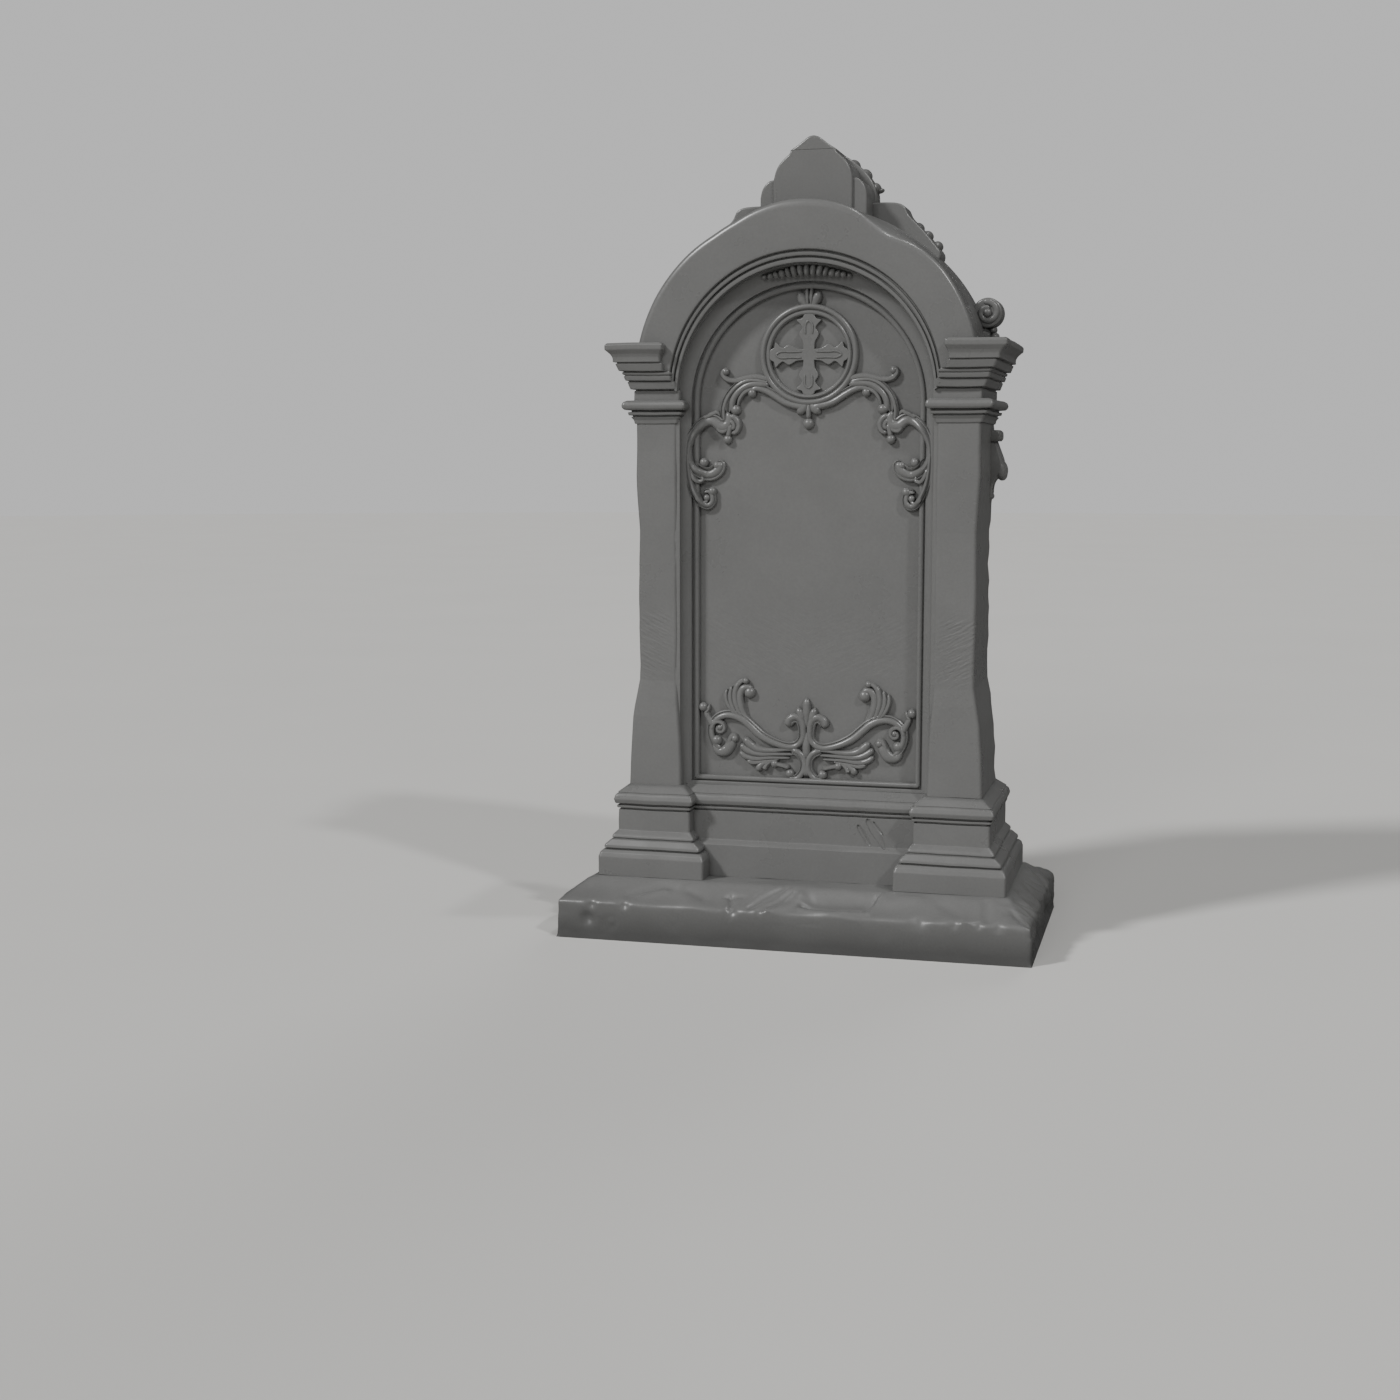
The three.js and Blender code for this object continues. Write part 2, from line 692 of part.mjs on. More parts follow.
function shoulderShape() {
  const shape = new THREE.Shape();
  shape.moveTo(SHOULDER.flat, SHOULDER.top);
  shape.lineTo(-SHOULDER.flat, SHOULDER.top);
  shape.quadraticCurveTo(-SHOULDER.halfWidth, SHOULDER.swell, -SHOULDER.halfWidth, SHOULDER.foot);
  shape.lineTo(-SHOULDER.halfWidth, CREST_FOOT);
  shape.lineTo(SHOULDER.halfWidth, CREST_FOOT);
  shape.lineTo(SHOULDER.halfWidth, SHOULDER.foot);
  shape.quadraticCurveTo(SHOULDER.halfWidth, SHOULDER.swell, SHOULDER.flat, SHOULDER.top);
  return shape;
}

function wingShape(side) {
  return new THREE.Shape(WING_OUTLINE.map(([across, height]) => new THREE.Vector2(side * across, height)));
}

function crest() {
  const leaves = (side) => CREST_LEAVES.map(([across, height, radius]) => {
    const ball = new THREE.SphereGeometry(1, LOBE_FACETS.around, LOBE_FACETS.along);
    ball.rotateX(Math.PI / 2);
    ball.scale(radius, CREST_LEAF_HALF_DEPTH, radius);
    ball.translate(side * across, CREST_LEAF_MIDDLE, height);
    return toSolid(ball);
  });
  const wing = (side) => [plate(wingShape(side), WING_FRONT, WING_BACK)];
  return [
    plate(crestShape(), CREST_FRONT, CREST_BACK, CREST_CURVE_STEPS),
    plate(shoulderShape(), SHOULDER_FRONT, SHOULDER_BACK, CREST_CURVE_STEPS),
    ...bothSides(wing),
    ...bothSides(leaves),
  ];
}

// A rolled scroll beside the arch's foot, with a spiral ridge on its end
function volute(side) {
  const { radius, front, back } = VOLUTE;
  const drum = new THREE.CylinderGeometry(radius, radius, back - front, VOLUTE_FACETS);
  drum.translate(side * VOLUTE.across, (front + back) / 2, VOLUTE.height);
  const rings = [];
  for (let step = 0; step <= SPIRAL.steps; step += 1) {
    const share = step / SPIRAL.steps;
    const angle = Math.PI * (SPIRAL.start + 2 * SPIRAL.turns * share);
    const turn = (radius - SPIRAL.ridge) * (1 - SPIRAL.shrink * share);
    const corner = (outset, depth) => [
      side * (VOLUTE.across + (turn + outset) * Math.cos(angle)),
      front + depth,
      VOLUTE.height + (turn + outset) * Math.sin(angle),
    ];
    const outer = corner(SPIRAL.ridge, SPIRAL.root);
    const inner = corner(-SPIRAL.ridge, SPIRAL.root);
    rings.push([outer, corner(0, -SPIRAL.rise), inner]);
  }
  return [
    toSolid(drum),
    toSolid(loft(rings, [[1, 0], [0, -1], [-1, 0]])),
    sideBlock(side, VOLUTE_FOOT),
  ];
}

// A curling leaf under a small abacus
function bracket(side) {
  const rings = BRACKET_ROWS.map(([height, reach, share]) => {
    const half = BRACKET_HALF_DEPTH * share;
    return [
      [side * BRACKET_ROOT, BRACKET_MIDDLE - half, height],
      [side * (reach - BRACKET_CROWN), BRACKET_MIDDLE - half, height],
      [side * reach, BRACKET_MIDDLE, height],
      [side * (reach - BRACKET_CROWN), BRACKET_MIDDLE + half, height],
      [side * BRACKET_ROOT, BRACKET_MIDDLE + half, height],
    ];
  });
  const abacus = {
    inner: BRACKET_ROOT,
    front: BRACKET_MIDDLE - BRACKET_HALF_DEPTH,
    back: BRACKET_MIDDLE + BRACKET_HALF_DEPTH,
    ...ABACUS,
  };
  return [toSolid(loft(rings, rings[0])), sideBlock(side, abacus)];
}

function headstone() {
  return join([
    core(),
    ...archMouldings(),
    ...bothSides(pier),
    ...bothSides(scrollwork),
    ...medallion(),
    ...spray(),
    ...crest(),
    ...bothSides(volute),
    ...bothSides(bracket),
  ]);
}

const monument = new THREE.Group();
monument.add(
  toMesh('base_slab', slab(), TOOLED_STONE),
  toMesh('plinth', plinth(), CARVED_STONE),
  toMesh('headstone', headstone(), CARVED_STONE),
);

export default monument;
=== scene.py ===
import json
import math

import bmesh
import bpy
from bpy.props import FloatProperty, FloatVectorProperty, PointerProperty
from mathutils import Matrix, Vector, geometry, noise

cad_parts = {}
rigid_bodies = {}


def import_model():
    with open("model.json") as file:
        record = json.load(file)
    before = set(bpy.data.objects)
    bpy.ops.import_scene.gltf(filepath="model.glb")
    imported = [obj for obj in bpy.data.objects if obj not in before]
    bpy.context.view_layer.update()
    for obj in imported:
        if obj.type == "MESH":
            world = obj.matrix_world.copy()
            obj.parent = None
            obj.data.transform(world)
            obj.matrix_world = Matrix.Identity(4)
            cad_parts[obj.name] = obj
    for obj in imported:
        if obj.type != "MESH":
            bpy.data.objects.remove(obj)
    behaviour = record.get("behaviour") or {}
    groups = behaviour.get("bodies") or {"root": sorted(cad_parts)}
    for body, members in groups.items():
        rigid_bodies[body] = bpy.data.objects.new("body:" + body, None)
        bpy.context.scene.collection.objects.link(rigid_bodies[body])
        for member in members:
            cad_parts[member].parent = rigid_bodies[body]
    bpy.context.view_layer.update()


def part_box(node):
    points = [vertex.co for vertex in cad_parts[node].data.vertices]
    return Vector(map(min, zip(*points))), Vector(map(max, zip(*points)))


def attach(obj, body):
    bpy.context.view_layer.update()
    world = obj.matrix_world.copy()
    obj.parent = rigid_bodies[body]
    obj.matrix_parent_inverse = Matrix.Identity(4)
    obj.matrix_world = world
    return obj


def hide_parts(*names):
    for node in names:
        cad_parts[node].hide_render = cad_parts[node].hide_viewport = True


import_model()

bl_info = {
    "name": "Carved Headstone",
    "version": (1, 0, 0),
    "blender": (4, 5, 0),
    "location": "View3D > Sidebar > Headstone",
    "description": "Builds a carved grey headstone on its plinth and ground slab",
    "category": "Add Mesh",
}

MM = 0.001
BODY = "root"
# The most of an edge that the rounding of one of its ends takes up
ROUND_LIMIT = 0.45
# Edges that turn more than this stay sharp
SHARP_ANGLE = math.radians(40)


def millimetres(corner):
    """A corner of the frame, in millimetres."""
    return corner / MM


SLAB_LOW, SLAB_HIGH = map(millimetres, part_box("base_slab"))
PLINTH_LOW, PLINTH_HIGH = map(millimetres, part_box("plinth"))
STONE_LOW, STONE_HIGH = map(millimetres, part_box("headstone"))

# Ground slab: run of the slope from the edge to the seat, sideways and forwards
SLOPE_SIDEWAYS = 53
SLOPE_FORWARDS = 81
# Cuts across each axis, and passes that soften its edges
SLAB_CUTS = (250, 140, 24)
SLAB_SMOOTHING = 14
# Beds under the pedestals and the middle course: inner side, outer side and half-depth
PEDESTAL_BED = (186, 424, 181)
COURSE_BED = (0, 246, 132)
# How far from a bed the hewing reaches its full depth, and how far up from the ground
BED_MARGIN = 16
FOOT_MARGIN = 20
# Where the rock face of the ends and of the rear begins and is full, and where the front ends it
END_ROCK = (396, 450)
REAR_ROCK = (180, 250)
FRONT_ROCK = (-262, -222)
# Share of the rock face's depth on the left end, on the rear and on the slope, and where the slope begins
LEFT_SHARE = 0.6
REAR_SHARE = 0.5
SLOPE_SHARE = 0.35
SLOPE_HEIGHTS = (58, 80)
# Rock facets: size along each axis, and the share of finer ones and how many times finer they are
FACET_SIZES = (80, 26, 46)
FINE_FACETS = 0.6
FINE_FACET_SCALE = 2.3
# Wandering of the dressed faces: broad and fine size, share of the fine one, and lean and stretch upwards
WANDER_SIZES = (70, 26)
FINE_WANDER = 0.15
WANDER_LEAN = 0.8
WANDER_STRETCH = 0.5
# Folds show on the top only, above this height
FOLD_FLOOR = 55
# Folds and grooves in the top: half-width, height and the points of across and depth each runs through
SLAB_FOLDS = [
    (6, 1.6, [(-88, -250), (-62, -211), (-30, -188)]),
    (6, -2.4, [(-77, -254), (-47, -220), (-20, -191)]),
    (6, 1.8, [(-66, -258), (-33, -230), (-11, -194)]),
    (6, -2.4, [(-55, -260), (-20, -238), (-2, -201)]),
    (13, 4, [(-38, -262), (-2, -240), (14, -208)]),
    (26, -13, [(52, -222), (140, -216)]),
    (5, -5, [(24, -236), (81, -245), (146, -240), (158, -221), (168, -190)]),
    (6, 4, [(24, -250), (81, -256), (156, -250), (170, -222), (178, -190)]),
    (18, 4, [(196, -214), (242, -200)]),
    (10, -4, [(383, -198), (389, -250)]),
    (14, -3, [(300, -214), (330, -236)]),
    (6, -5, [(-123, -222), (-114, -256)]),
    (5, -3, [(-133, -227), (-98, -223)]),
    (14, -4, [(-329, -240), (-278, -204), (-250, -206)]),
    (9, 3, [(-300, -240), (-262, -220)]),
    (12, -4, [(-210, -215), (-180, -230)]),
    (7, -6, [(405, 150), (433, 150), (459, 127), (482, 108)]),
    (18, 4, [(405, 112), (436, 104), (472, 72)]),
    (8, -3, [(410, 40), (444, 0), (472, -21)]),
    (18, 3, [(408, 0), (440, -36), (474, -58)]),
    (7, -6, [(404, -54), (438, -88), (462, -107), (482, -116)]),
    (18, 4, [(406, -100), (440, -126), (476, -146)]),
    (8, -4, [(440, -222), (458, -246), (474, -255)]),
]
# Dents and bumps: across, depth, height, radius and how far it goes in
SLAB_DENTS = [
    (-404, -265, 72, 9, 6),
    (-335, -265, 74, 9, 6),
    (-412, -265, 44, 13, 7),
    (-362, -265, 39, 16, 5),
    (-362, -265, 39, 8, -4),
    (-470, -262, 60, 18, 2),
    (-113, -265, 76, 11, 7),
    (262, -265, 77, 14, 5),
    (330, -265, 74, 9, 4),
    (352, -265, 74, 9, -3),
    (375, -265, 74, 9, 4),
    (412, -265, 74, 11, 4),
    (455, -232, 90, 14, 4),
    (478, -230, 78, 13, 4),
    (479, -120, 44, 30, 9),
    (479, -20, 60, 26, 10),
    (479, 90, 40, 34, 9),
    (479, 190, 70, 24, 10),
    (-479, 30, 60, 40, 8),
    (-474, -120, 76, 30, 8),
    (-474, 150, 76, 26, 8),
]

# Plinth: inner side, outer side and half-depth of the pedestals' die, and the middle course
DIE_INNER = 230
DIE_OUTER = 382
DIE_FRONT = 147
COURSE_HALF_LENGTH = 262
COURSE_FACE = 113
COURSE_ARRIS = 2
# Height, outset sideways and outset forwards from the die
PEDESTAL_PROFILE = [
    (PLINTH_LOW.z, 36, 28),
    (151, 36, 28),
    (160, 33, 25),
    (165, 28, 20),
    (165.8, 22, 14),
    (168.4, 22, 14),
    (169.2, 26, 20),
    (175, 25, 19),
    (185.5, 12.5, 12.5),
    (186.2, 8, 8),
    (188.6, 8, 8),
    (189.4, 11, 11),
    (194, 10, 10),
    (204, 0, 0),
    (247, 0, 0),
    (247.6, -4, -4),
    (250.6, -4, -4),
    (251.2, 3, 3),
    (256, 3.5, 3.5),
    (256.6, -2, -2),
    (260, -2, -2),
    (260.6, 6, 6),
    (269, 8.5, 8.5),
    (277, 6, 6),
    (280.5, 3, 4),
    (281, 0.5, 1.5),
    (282.8, 0.5, 1.5),
    (283.4, 1.5, 2.5),
    (PLINTH_HIGH.z, -19, -16),
]
# Height and distance from the middle plane to the face
COURSE_PROFILE = [
    (PLINTH_LOW.z, 124),
    (179, 124),
    (186, 114.5),
    (188, COURSE_FACE),
    (247, COURSE_FACE),
    (247.6, 109),
    (250.6, 109),
    (251.2, 116),
    (256, 116.5),
    (256.6, 111),
    (260, 111),
    (260.6, 119),
    (269, 121.5),
    (277, 119),
    (280.5, 117),
    (281, 114.5),
    (282.8, 114.5),
    (283.4, 115.5),
    (PLINTH_HIGH.z, 99),
]
# Gouges in the face of the course: depth, then half-width and the points of across and height of each
GOUGE_DEPTH = 3
GOUGES = [
    (8, [(131, 245), (140, 231), (152, 213), (163, 196), (168, 184)]),
    (4, [(144, 240), (154, 226), (165, 213)]),
    (6, [(112, 232), (122, 218), (132, 202), (140, 190)]),
]

# Piers, necks and capitals: height, inner side, outer side and distance from the middle plane to the face
PIER_ROWS = [
    (STONE_LOW.z, 252, 363, 130),
    (345, 253, 361, 130),
    (390, 254, 359, 130),
    (440, 257, 355.5, 129),
    (480, 260, 349, 127),
    (514, 262, 343, 124),
    (545, 262.5, 342, 124),
    (600, 262, 343, 124.5),
    (680, 262, 343.5, 125),
    (750, 262, 343, 124.5),
    (820, 262, 342, 124),
    (890, 262, 346.5, 125.5),
    (930, 262, 348, 126),
    (980, 262, 347, 125),
    (1037, 262, 347, 125),
]
NECK_ROWS = [
    (1030, 266, 343, 121),
    (1034, 266, 343, 121),
    (1034.6, 260, 350, 127),
    (1042, 258, 352, 128.5),
    (1048, 253, 357, 132.5),
    (1048.6, 256, 354, 129),
    (1051, 256, 354, 129),
    (1051.6, 250, 361, 135.5),
    (1057.5, 249, 362, 137),
    (1058.2, 255, 356, 131),
    (1061.4, 255, 356, 131),
    (1062, 244.5, 367.5, 141),
    (1066, 241.5, 372, 143.5),
    (1071, 241, 373, 144),
    (1077, 243, 370.5, 142),
    (1080.5, 248, 364, 136),
    (1081, 257, 347, 128),
]
CAPITAL_ROWS = [
    (1078, 254, 350, 130),
    (1100, 254, 350, 130),
    (1100.6, 256, 347.5, 127.5),
    (1102.4, 256, 347.5, 127.5),
    (1103, 259, 356, 139),
    (1117.4, 259, 361, 143),
    (1118, 262, 358.5, 140),
    (1119.6, 262, 358.5, 140),
    (1120.2, 267, 364, 147),
    (1128.5, 267, 367, 149),
    (1129, 269, 365, 147),
    (1131, 269, 365, 147),
    (1131.5, 267, 368, 150),
    (1136, 267, 370, 151),
    (1136.6, 270, 367, 148),
    (1138.4, 270, 367, 148),
    (1139, 283, 375, 155),
    (1153, 283, 381, 159),
    (1153.6, 286, 378, 156),
    (1155.6, 286, 378, 156),
    (1156.2, 287, 386, 161),
    (1160, 287.5, 385.5, 161),
    (1166, 287, 386.5, 161.5),
    (1172, 285, 390, 164),
    (1178, 281.5, 396, 168),
    (1181, 280, STONE_HIGH.x, STONE_HIGH.y),
    (1190, 280, STONE_HIGH.x, STONE_HIGH.y),
    (1194, 284, 396, 166),
]

# Longest edge of the mesh of the weathered faces, and of the piers' shafts
LONGEST_EDGE = 30
SHAFT_EDGE = 26
# Parts of a pier: rows, share of the upright arris and longest edge of the mesh
PIER_PARTS = [
    (PIER_ROWS, 1.3, SHAFT_EDGE), (NECK_ROWS, 1, LONGEST_EDGE), (CAPITAL_ROWS, 0.8, LONGEST_EDGE),
]
# How far the piers' rear arrises are worn back, where that begins and is full, and the length of its waves
REAR_WEAR = 7
REAR_WEAR_DEPTHS = (40, 120)
REAR_WAVES = 60

# Weathered skin: seed of the slow waves and their lengths, and a finer wave's share and length
WEATHER_SEED = 22
PLINTH_WAVES = 80
PIER_WAVES = 70
BRACKET_WAVES = 30
FINE_WAVE = 0.5
FINE_WAVE_LENGTH = 0.37

# Arch: the height of the centre that each radius turns about. The mouldings thicken towards the crown.
ARCH_CENTRES = [(238, 1074), (258, 1087), (266, 1092), (273, 1096), (346, 1113)]
ARCH_STEPS = 72
RING_FOOT = 1132
FILLET_FOOT = 1112
BAND_FOOT = 1101
# Sections of the mouldings: radius and depth, which is less than 0 in front of the middle
RING_SECTION = [
    (310, 128),
    (343, 128),
    (346, 125),
    (346, -65),
    (342, -66.5),
    (342, -71),
    (346, -72.5),
    (346, -98),
    (346, -120),
    (346, -136),
    (344, -141.5),
    (340, -145),
    (334, -146),
    (278, -146),
    (274.5, -145),
    (273, -142),
    (273, -60),
    (310, -60),
]
FILLET_SECTION = [
    (270.5, -137),
    (270.5, -141),
    (270, -142),
    (267.5, -142),
    (266, -140.5),
    (266, -60),
    (300, -60),
    (300, -137),
]
BAND_SECTION = [
    (263.5, -133),
    (263.5, -137),
    (263, -138),
    (260, -138),
    (258.5, -137),
    (258, -135),
    (258, -60),
    (300, -60),
    (300, -133),
]
COVE_OUTER = (256.5, -122)
COVE_INNER = (238.5, -97)
COVE_STEPS = 7
COVE_ROOT = 300
# A narrow ledge under the roll frame
COVE_LEDGE = [(238, -88), (228, -87), (228, -60)]
ROLL_RADIUS = 5.8
ROLL_MIDDLE = (230, -87)
ROLL_STEPS = 8
# How far the ring's worn front stands out or in, by degrees round from the right foot
RING_WEAR = [(0, 0), (38, 1), (52, -5), (60, -12), (67, -8), (74, 1), (82, 6), (90, 8), (98, 8), (106, 4),
             (114, -2), (122, -4), (132, -1), (150, 1), (180, 0)]
# Where that wear begins and is full: forwards, and out from the centre
WORN_FORWARDS = (60, 146)
WORN_OUTWARDS = (300, 346)
# A chip along its front arris: middle and spread in degrees, depth, and where it begins and is full forwards
CHIP_MIDDLE = 59
CHIP_SPREAD = 9
CHIP_DEPTH = 9
CHIP_FORWARDS = (118, 146)

# Tablet
CORE_HALF_WIDTH = 330
CORE_BACK = 125
CORE_ARRIS = 1
TABLET_FACE = -78
TABLET_FOOT = 312
SILL_TOP = 306
SILL_FRONT = -99
SILL_CHAMFER = 2
BACK_PANEL = {"half_width": 225, "centre": 1085, "foot": 335, "depth": 12, "arris": 3}

# Relief on the tablet: how deep its roots are sunk, and how it climbs on to the roll frame at the sides
SINK = 4
CLIMB_HEIGHT = 13
CLIMB_START = 205
CLIMB_END = 236
# Points of a curve between knots, step along a strand, least share of its width at an end, the share of its
# rise that does not follow its width, and how far a bud stands past it as a share of the radius
CURVE_FINENESS = 12
STRAND_STEP = 2.4
BLUNT = 0.06
LEAST_RISE = 0.45
BUD_PROUD = 0.12
# Sections of a strand: place across from -1 to 1 and share of the full rise
ROLL = [
    (-1, 0), (-1, 0.5), (-0.82, 0.8), (-0.45, 0.97), (0, 1), (0.45, 0.97), (0.82, 0.8), (1, 0.5), (1, 0),
]
BAND = [
    (-1, 0), (-1, 0.55), (-0.86, 0.84), (-0.55, 0.98), (-0.15, 1), (0.2, 0.92),
    (0.42, 0.76), (0.54, 0.76), (0.7, 0.92), (0.88, 0.84), (1, 0.5), (1, 0),
]
HOLLOW = [
    (-1, 0), (-1, 0.7), (-0.88, 0.95), (-0.68, 0.92), (-0.35, 0.66), (0, 0.58),
    (0.35, 0.66), (0.68, 0.92), (0.88, 0.95), (1, 0.7), (1, 0),
]
BASE = [
    (-1, 0), (-1, 0.3), (-0.8, 0.55), (-0.4, 0.66), (0, 0.68), (0.4, 0.66), (0.8, 0.55), (1, 0.3), (1, 0),
]
GROOVE = [(0, 0), (-1, 0.25), (-1, 1), (1, 1), (1, 0.25)]
GROOVE_RISE = 5
# Share of the full width along a strand
EVEN = [(0, 1), (1, 0.85)]
STEM = [(0, 0.75), (0.12, 1), (0.75, 0.92), (1, 0.7)]
TIP = [(0, 0.7), (0.35, 1), (0.75, 0.85), (1, 0.5)]
LEAF = [(0, 0.4), (0.5, 1), (0.8, 0.95), (1, 0.6)]
FROND = [(0, 0.4), (0.5, 0.75), (0.85, 1.1), (1, 0.9)]
SCROLL = [(0, 0.75), (0.12, 1.15), (0.32, 0.95), (0.52, 0.75), (0.72, 0.85), (0.9, 1), (1, 0.8)]
SWEEP = [
    (0, 1.15), (0.06, 1.05), (0.2, 0.85), (0.3, 0.85), (0.5, 1.1), (0.66, 1.05), (0.82, 0.85), (1, 0.7),
]

# Scrollwork on the right half: half-width, section, widths along it, and the points it runs through
UPPER_STRANDS = [
    (9.5, BAND, STEM, [(3, 1069), (27, 1072), (49, 1079), (70, 1092), (86, 1101), (101, 1106), (112, 1105),
                       (119, 1098), (114, 1091)]),
    (6.4, ROLL, STEM, [(78, 1121), (105, 1127), (126, 1125), (146, 1120), (163, 1121), (173, 1127),
                       (177, 1136), (171, 1142), (165, 1138)]),
    (6.6, BAND, STEM, [(82, 1117), (107, 1122), (127, 1121), (146, 1112), (162, 1096), (172, 1078),
                       (176, 1060), (174, 1038)]),
    (9, HOLLOW, LEAF, [(96, 1117), (128, 1114), (150, 1100), (162, 1080), (166, 1056)]),
    (7.6, ROLL, STEM, [(80, 1111), (109, 1113), (128, 1109), (145, 1097), (155, 1082), (157, 1067),
                       (151, 1058), (144, 1062)]),
    (5, ROLL, TIP, [(110, 1106), (130, 1097), (141, 1084), (146, 1068)]),
    (11.8, BAND, SCROLL, [(168, 1058), (166, 1042), (171, 1033), (181, 1033), (192, 1041), (204, 1043),
                          (219, 1036), (232, 1022), (242, 1004), (247, 984), (246, 966), (239, 948),
                          (225, 936), (208, 930), (194, 933), (183, 942), (180, 953), (188, 958)]),
    (5.6, ROLL, TIP, [(216, 1045), (200, 1053), (188, 1057), (181, 1049)]),
    (10, HOLLOW, LEAF, [(234, 964), (224, 946), (207, 938), (193, 945), (189, 957)]),
    (6.6, ROLL, STEM, [(162, 1051), (150, 1045), (143, 1032), (148, 1019), (159, 1015)]),
    (5.6, ROLL, STEM, [(163, 1042), (155, 1036), (153, 1028), (160, 1022)]),
    (6, ROLL, STEM, [(188, 1030), (181, 1020), (171, 1021), (164, 1031)]),
    (6.5, ROLL, EVEN, [(160, 1034), (163, 1020), (166, 1007)]),
    (8.2, BAND, STEM, [(248, 978), (247, 952), (244, 928), (238, 906), (229, 887), (219, 873), (206, 869),
                       (197, 877), (197, 891), (205, 900), (215, 898)]),
    (5, ROLL, TIP, [(231, 898), (226, 882), (216, 876), (208, 881), (209, 888)]),
    (6, ROLL, TIP, [(241, 946), (236, 929), (227, 919), (217, 922), (219, 931)]),
]
LOWER_STRANDS = [
    (9.8, BAND, SWEEP, [(36, 422), (35, 434), (24, 441), (13, 435), (9, 419), (10, 400), (20, 387),
                        (36, 383), (57, 387), (78, 395), (97, 406), (114, 421), (131, 435), (150, 443),
                        (169, 444), (186, 437), (198, 423), (201, 408), (197, 391), (189, 377), (178, 368)]),
    (17, BASE, LEAF, [(118, 424), (142, 455), (152, 490)]),
    (8.2, ROLL, LEAF, [(104, 411), (129, 443), (138, 466), (139, 486), (132, 499), (121, 501), (113, 493)]),
    (6.8, ROLL, LEAF, [(114, 418), (137, 443), (147, 464), (150, 484), (146, 502), (137, 512), (127, 516)]),
    (6, ROLL, LEAF, [(124, 427), (146, 446), (157, 466), (160, 484), (157, 502)]),
    (5.4, ROLL, LEAF, [(134, 436), (154, 450), (165, 467), (169, 482), (167, 496)]),
    (7, ROLL, STEM, [(196, 418), (205, 435), (213, 450)]),
    (5, ROLL, TIP, [(214, 444), (207, 452), (203, 463)]),
    (5.4, ROLL, EVEN, [(200, 410), (196, 422), (186, 428), (175, 424), (172, 414), (178, 407), (186, 409),
                       (186, 416), (181, 416)]),
    (12, ROLL, LEAF, [(197, 382), (185, 366), (169, 368), (159, 381), (154, 397)]),
    (6, ROLL, TIP, [(166, 379), (156, 399), (147, 398), (146, 389)]),
    (8.4, BAND, STEM, [(32, 375), (16, 368), (7, 356), (6, 341), (11, 327), (22, 318), (37, 320)]),
    (19, BASE, FROND, [(40, 364), (84, 361), (122, 372)]),
    (10, BASE, LEAF, [(64, 350), (84, 345), (95, 331)]),
    (8, ROLL, FROND, [(18, 376), (45, 375), (76, 372), (101, 374), (116, 382), (130, 396)]),
    (7, ROLL, FROND, [(24, 366), (66, 365), (101, 364), (122, 370), (138, 383)]),
    (6.4, ROLL, FROND, [(34, 358), (76, 357), (105, 354), (126, 358), (139, 368)]),
    (5.4, ROLL, FROND, [(56, 354), (84, 350), (108, 346), (124, 350)]),
    (7, ROLL, FROND, [(60, 353), (82, 348), (96, 340), (102, 328)]),
    (5.6, ROLL, FROND, [(68, 352), (82, 343), (89, 331)]),
    (5.4, ROLL, EVEN, [(34, 338), (50, 342), (66, 345)]),
]
# Round buds: across, height and radius
BUDS = [
    (116, 1095, 9),
    (170, 1138, 7),
    (149, 1062, 10.5),
    (215, 957, 9.5),
    (198, 899, 9),
    (209, 886, 7),
    (166, 1003, 9.5),
    (188, 951, 8),
    (181, 416, 6),
    (119, 490, 12.5),
    (127, 514, 6.5),
    (216, 458, 9.5),
    (188, 389, 11),
    (150, 394, 8),
    (34, 326, 9.5),
    (66, 345, 8),
]
# Leaves on and beside the middle line: half-width and the points each runs through
LEAVES = [
    (9, [(0, 422), (0, 452), (0, 483)]),
    (8.5, [(4, 424), (12, 446), (18, 463)]),
    (9, [(0, 414), (0, 386), (0, 358)]),
    (6, [(5, 374), (3, 346), (2, 321)]),
    (5, [(3, 1262), (4, 1282), (5, 1301)]),
    (10, [(4, 1260), (14, 1277), (21, 1294)]),
    (9.5, [(2, 1079), (10, 1066), (24, 1054)]),
    (6, [(0, 1078), (0, 1060), (0, 1042)]),
]
DROP_BALL = (0, 1034, 11.5)

# Medallion: middle, section of the ring (radius and rise) and half of one cross arm (along, half-width)
MEDALLION_HEIGHT = 1170
MEDALLION_STEPS = 96
MEDALLION_SECTION = [
    (100, -SINK), (100, 6), (98.5, 10), (95.5, 12.5), (92, 12.5), (89.5, 10.5), (88.3, 7), (87, 7),
    (85.8, 10), (83.5, 11.5), (80.5, 11), (78.5, 8.5), (77.5, 5), (77, -SINK),
]
CROSS_RISE = 10
CROSS_CHAMFER = 1.5
CROSS_STEP = 3
CROSS_ARMS = 4
CROSS_ARM = [
    (11, 11), (25, 12.5), (33, 17), (40, 20), (46, 17.5), (52, 13.5), (59, 17), (67, 25), (69.5, 20),
    (71, 14), (75, 12), (79, 8.5), (82, 4), (83, 0),
]
# A raised line round the middle of an arm, long on the side arms and short on the upright ones
CROSS_LINE_HALF_WIDTH = 2.4
CROSS_LINE_RISE = 2.2
CROSS_LINES = {
    0: [(14, 6), (38, 5.5), (56, 6), (66, 0), (56, -6), (38, -5.5), (14, -6)],
    1: [(40, 7), (50, 7.5), (60, 6.5), (66, 0), (60, -6.5), (50, -7.5), (40, -7)],
}

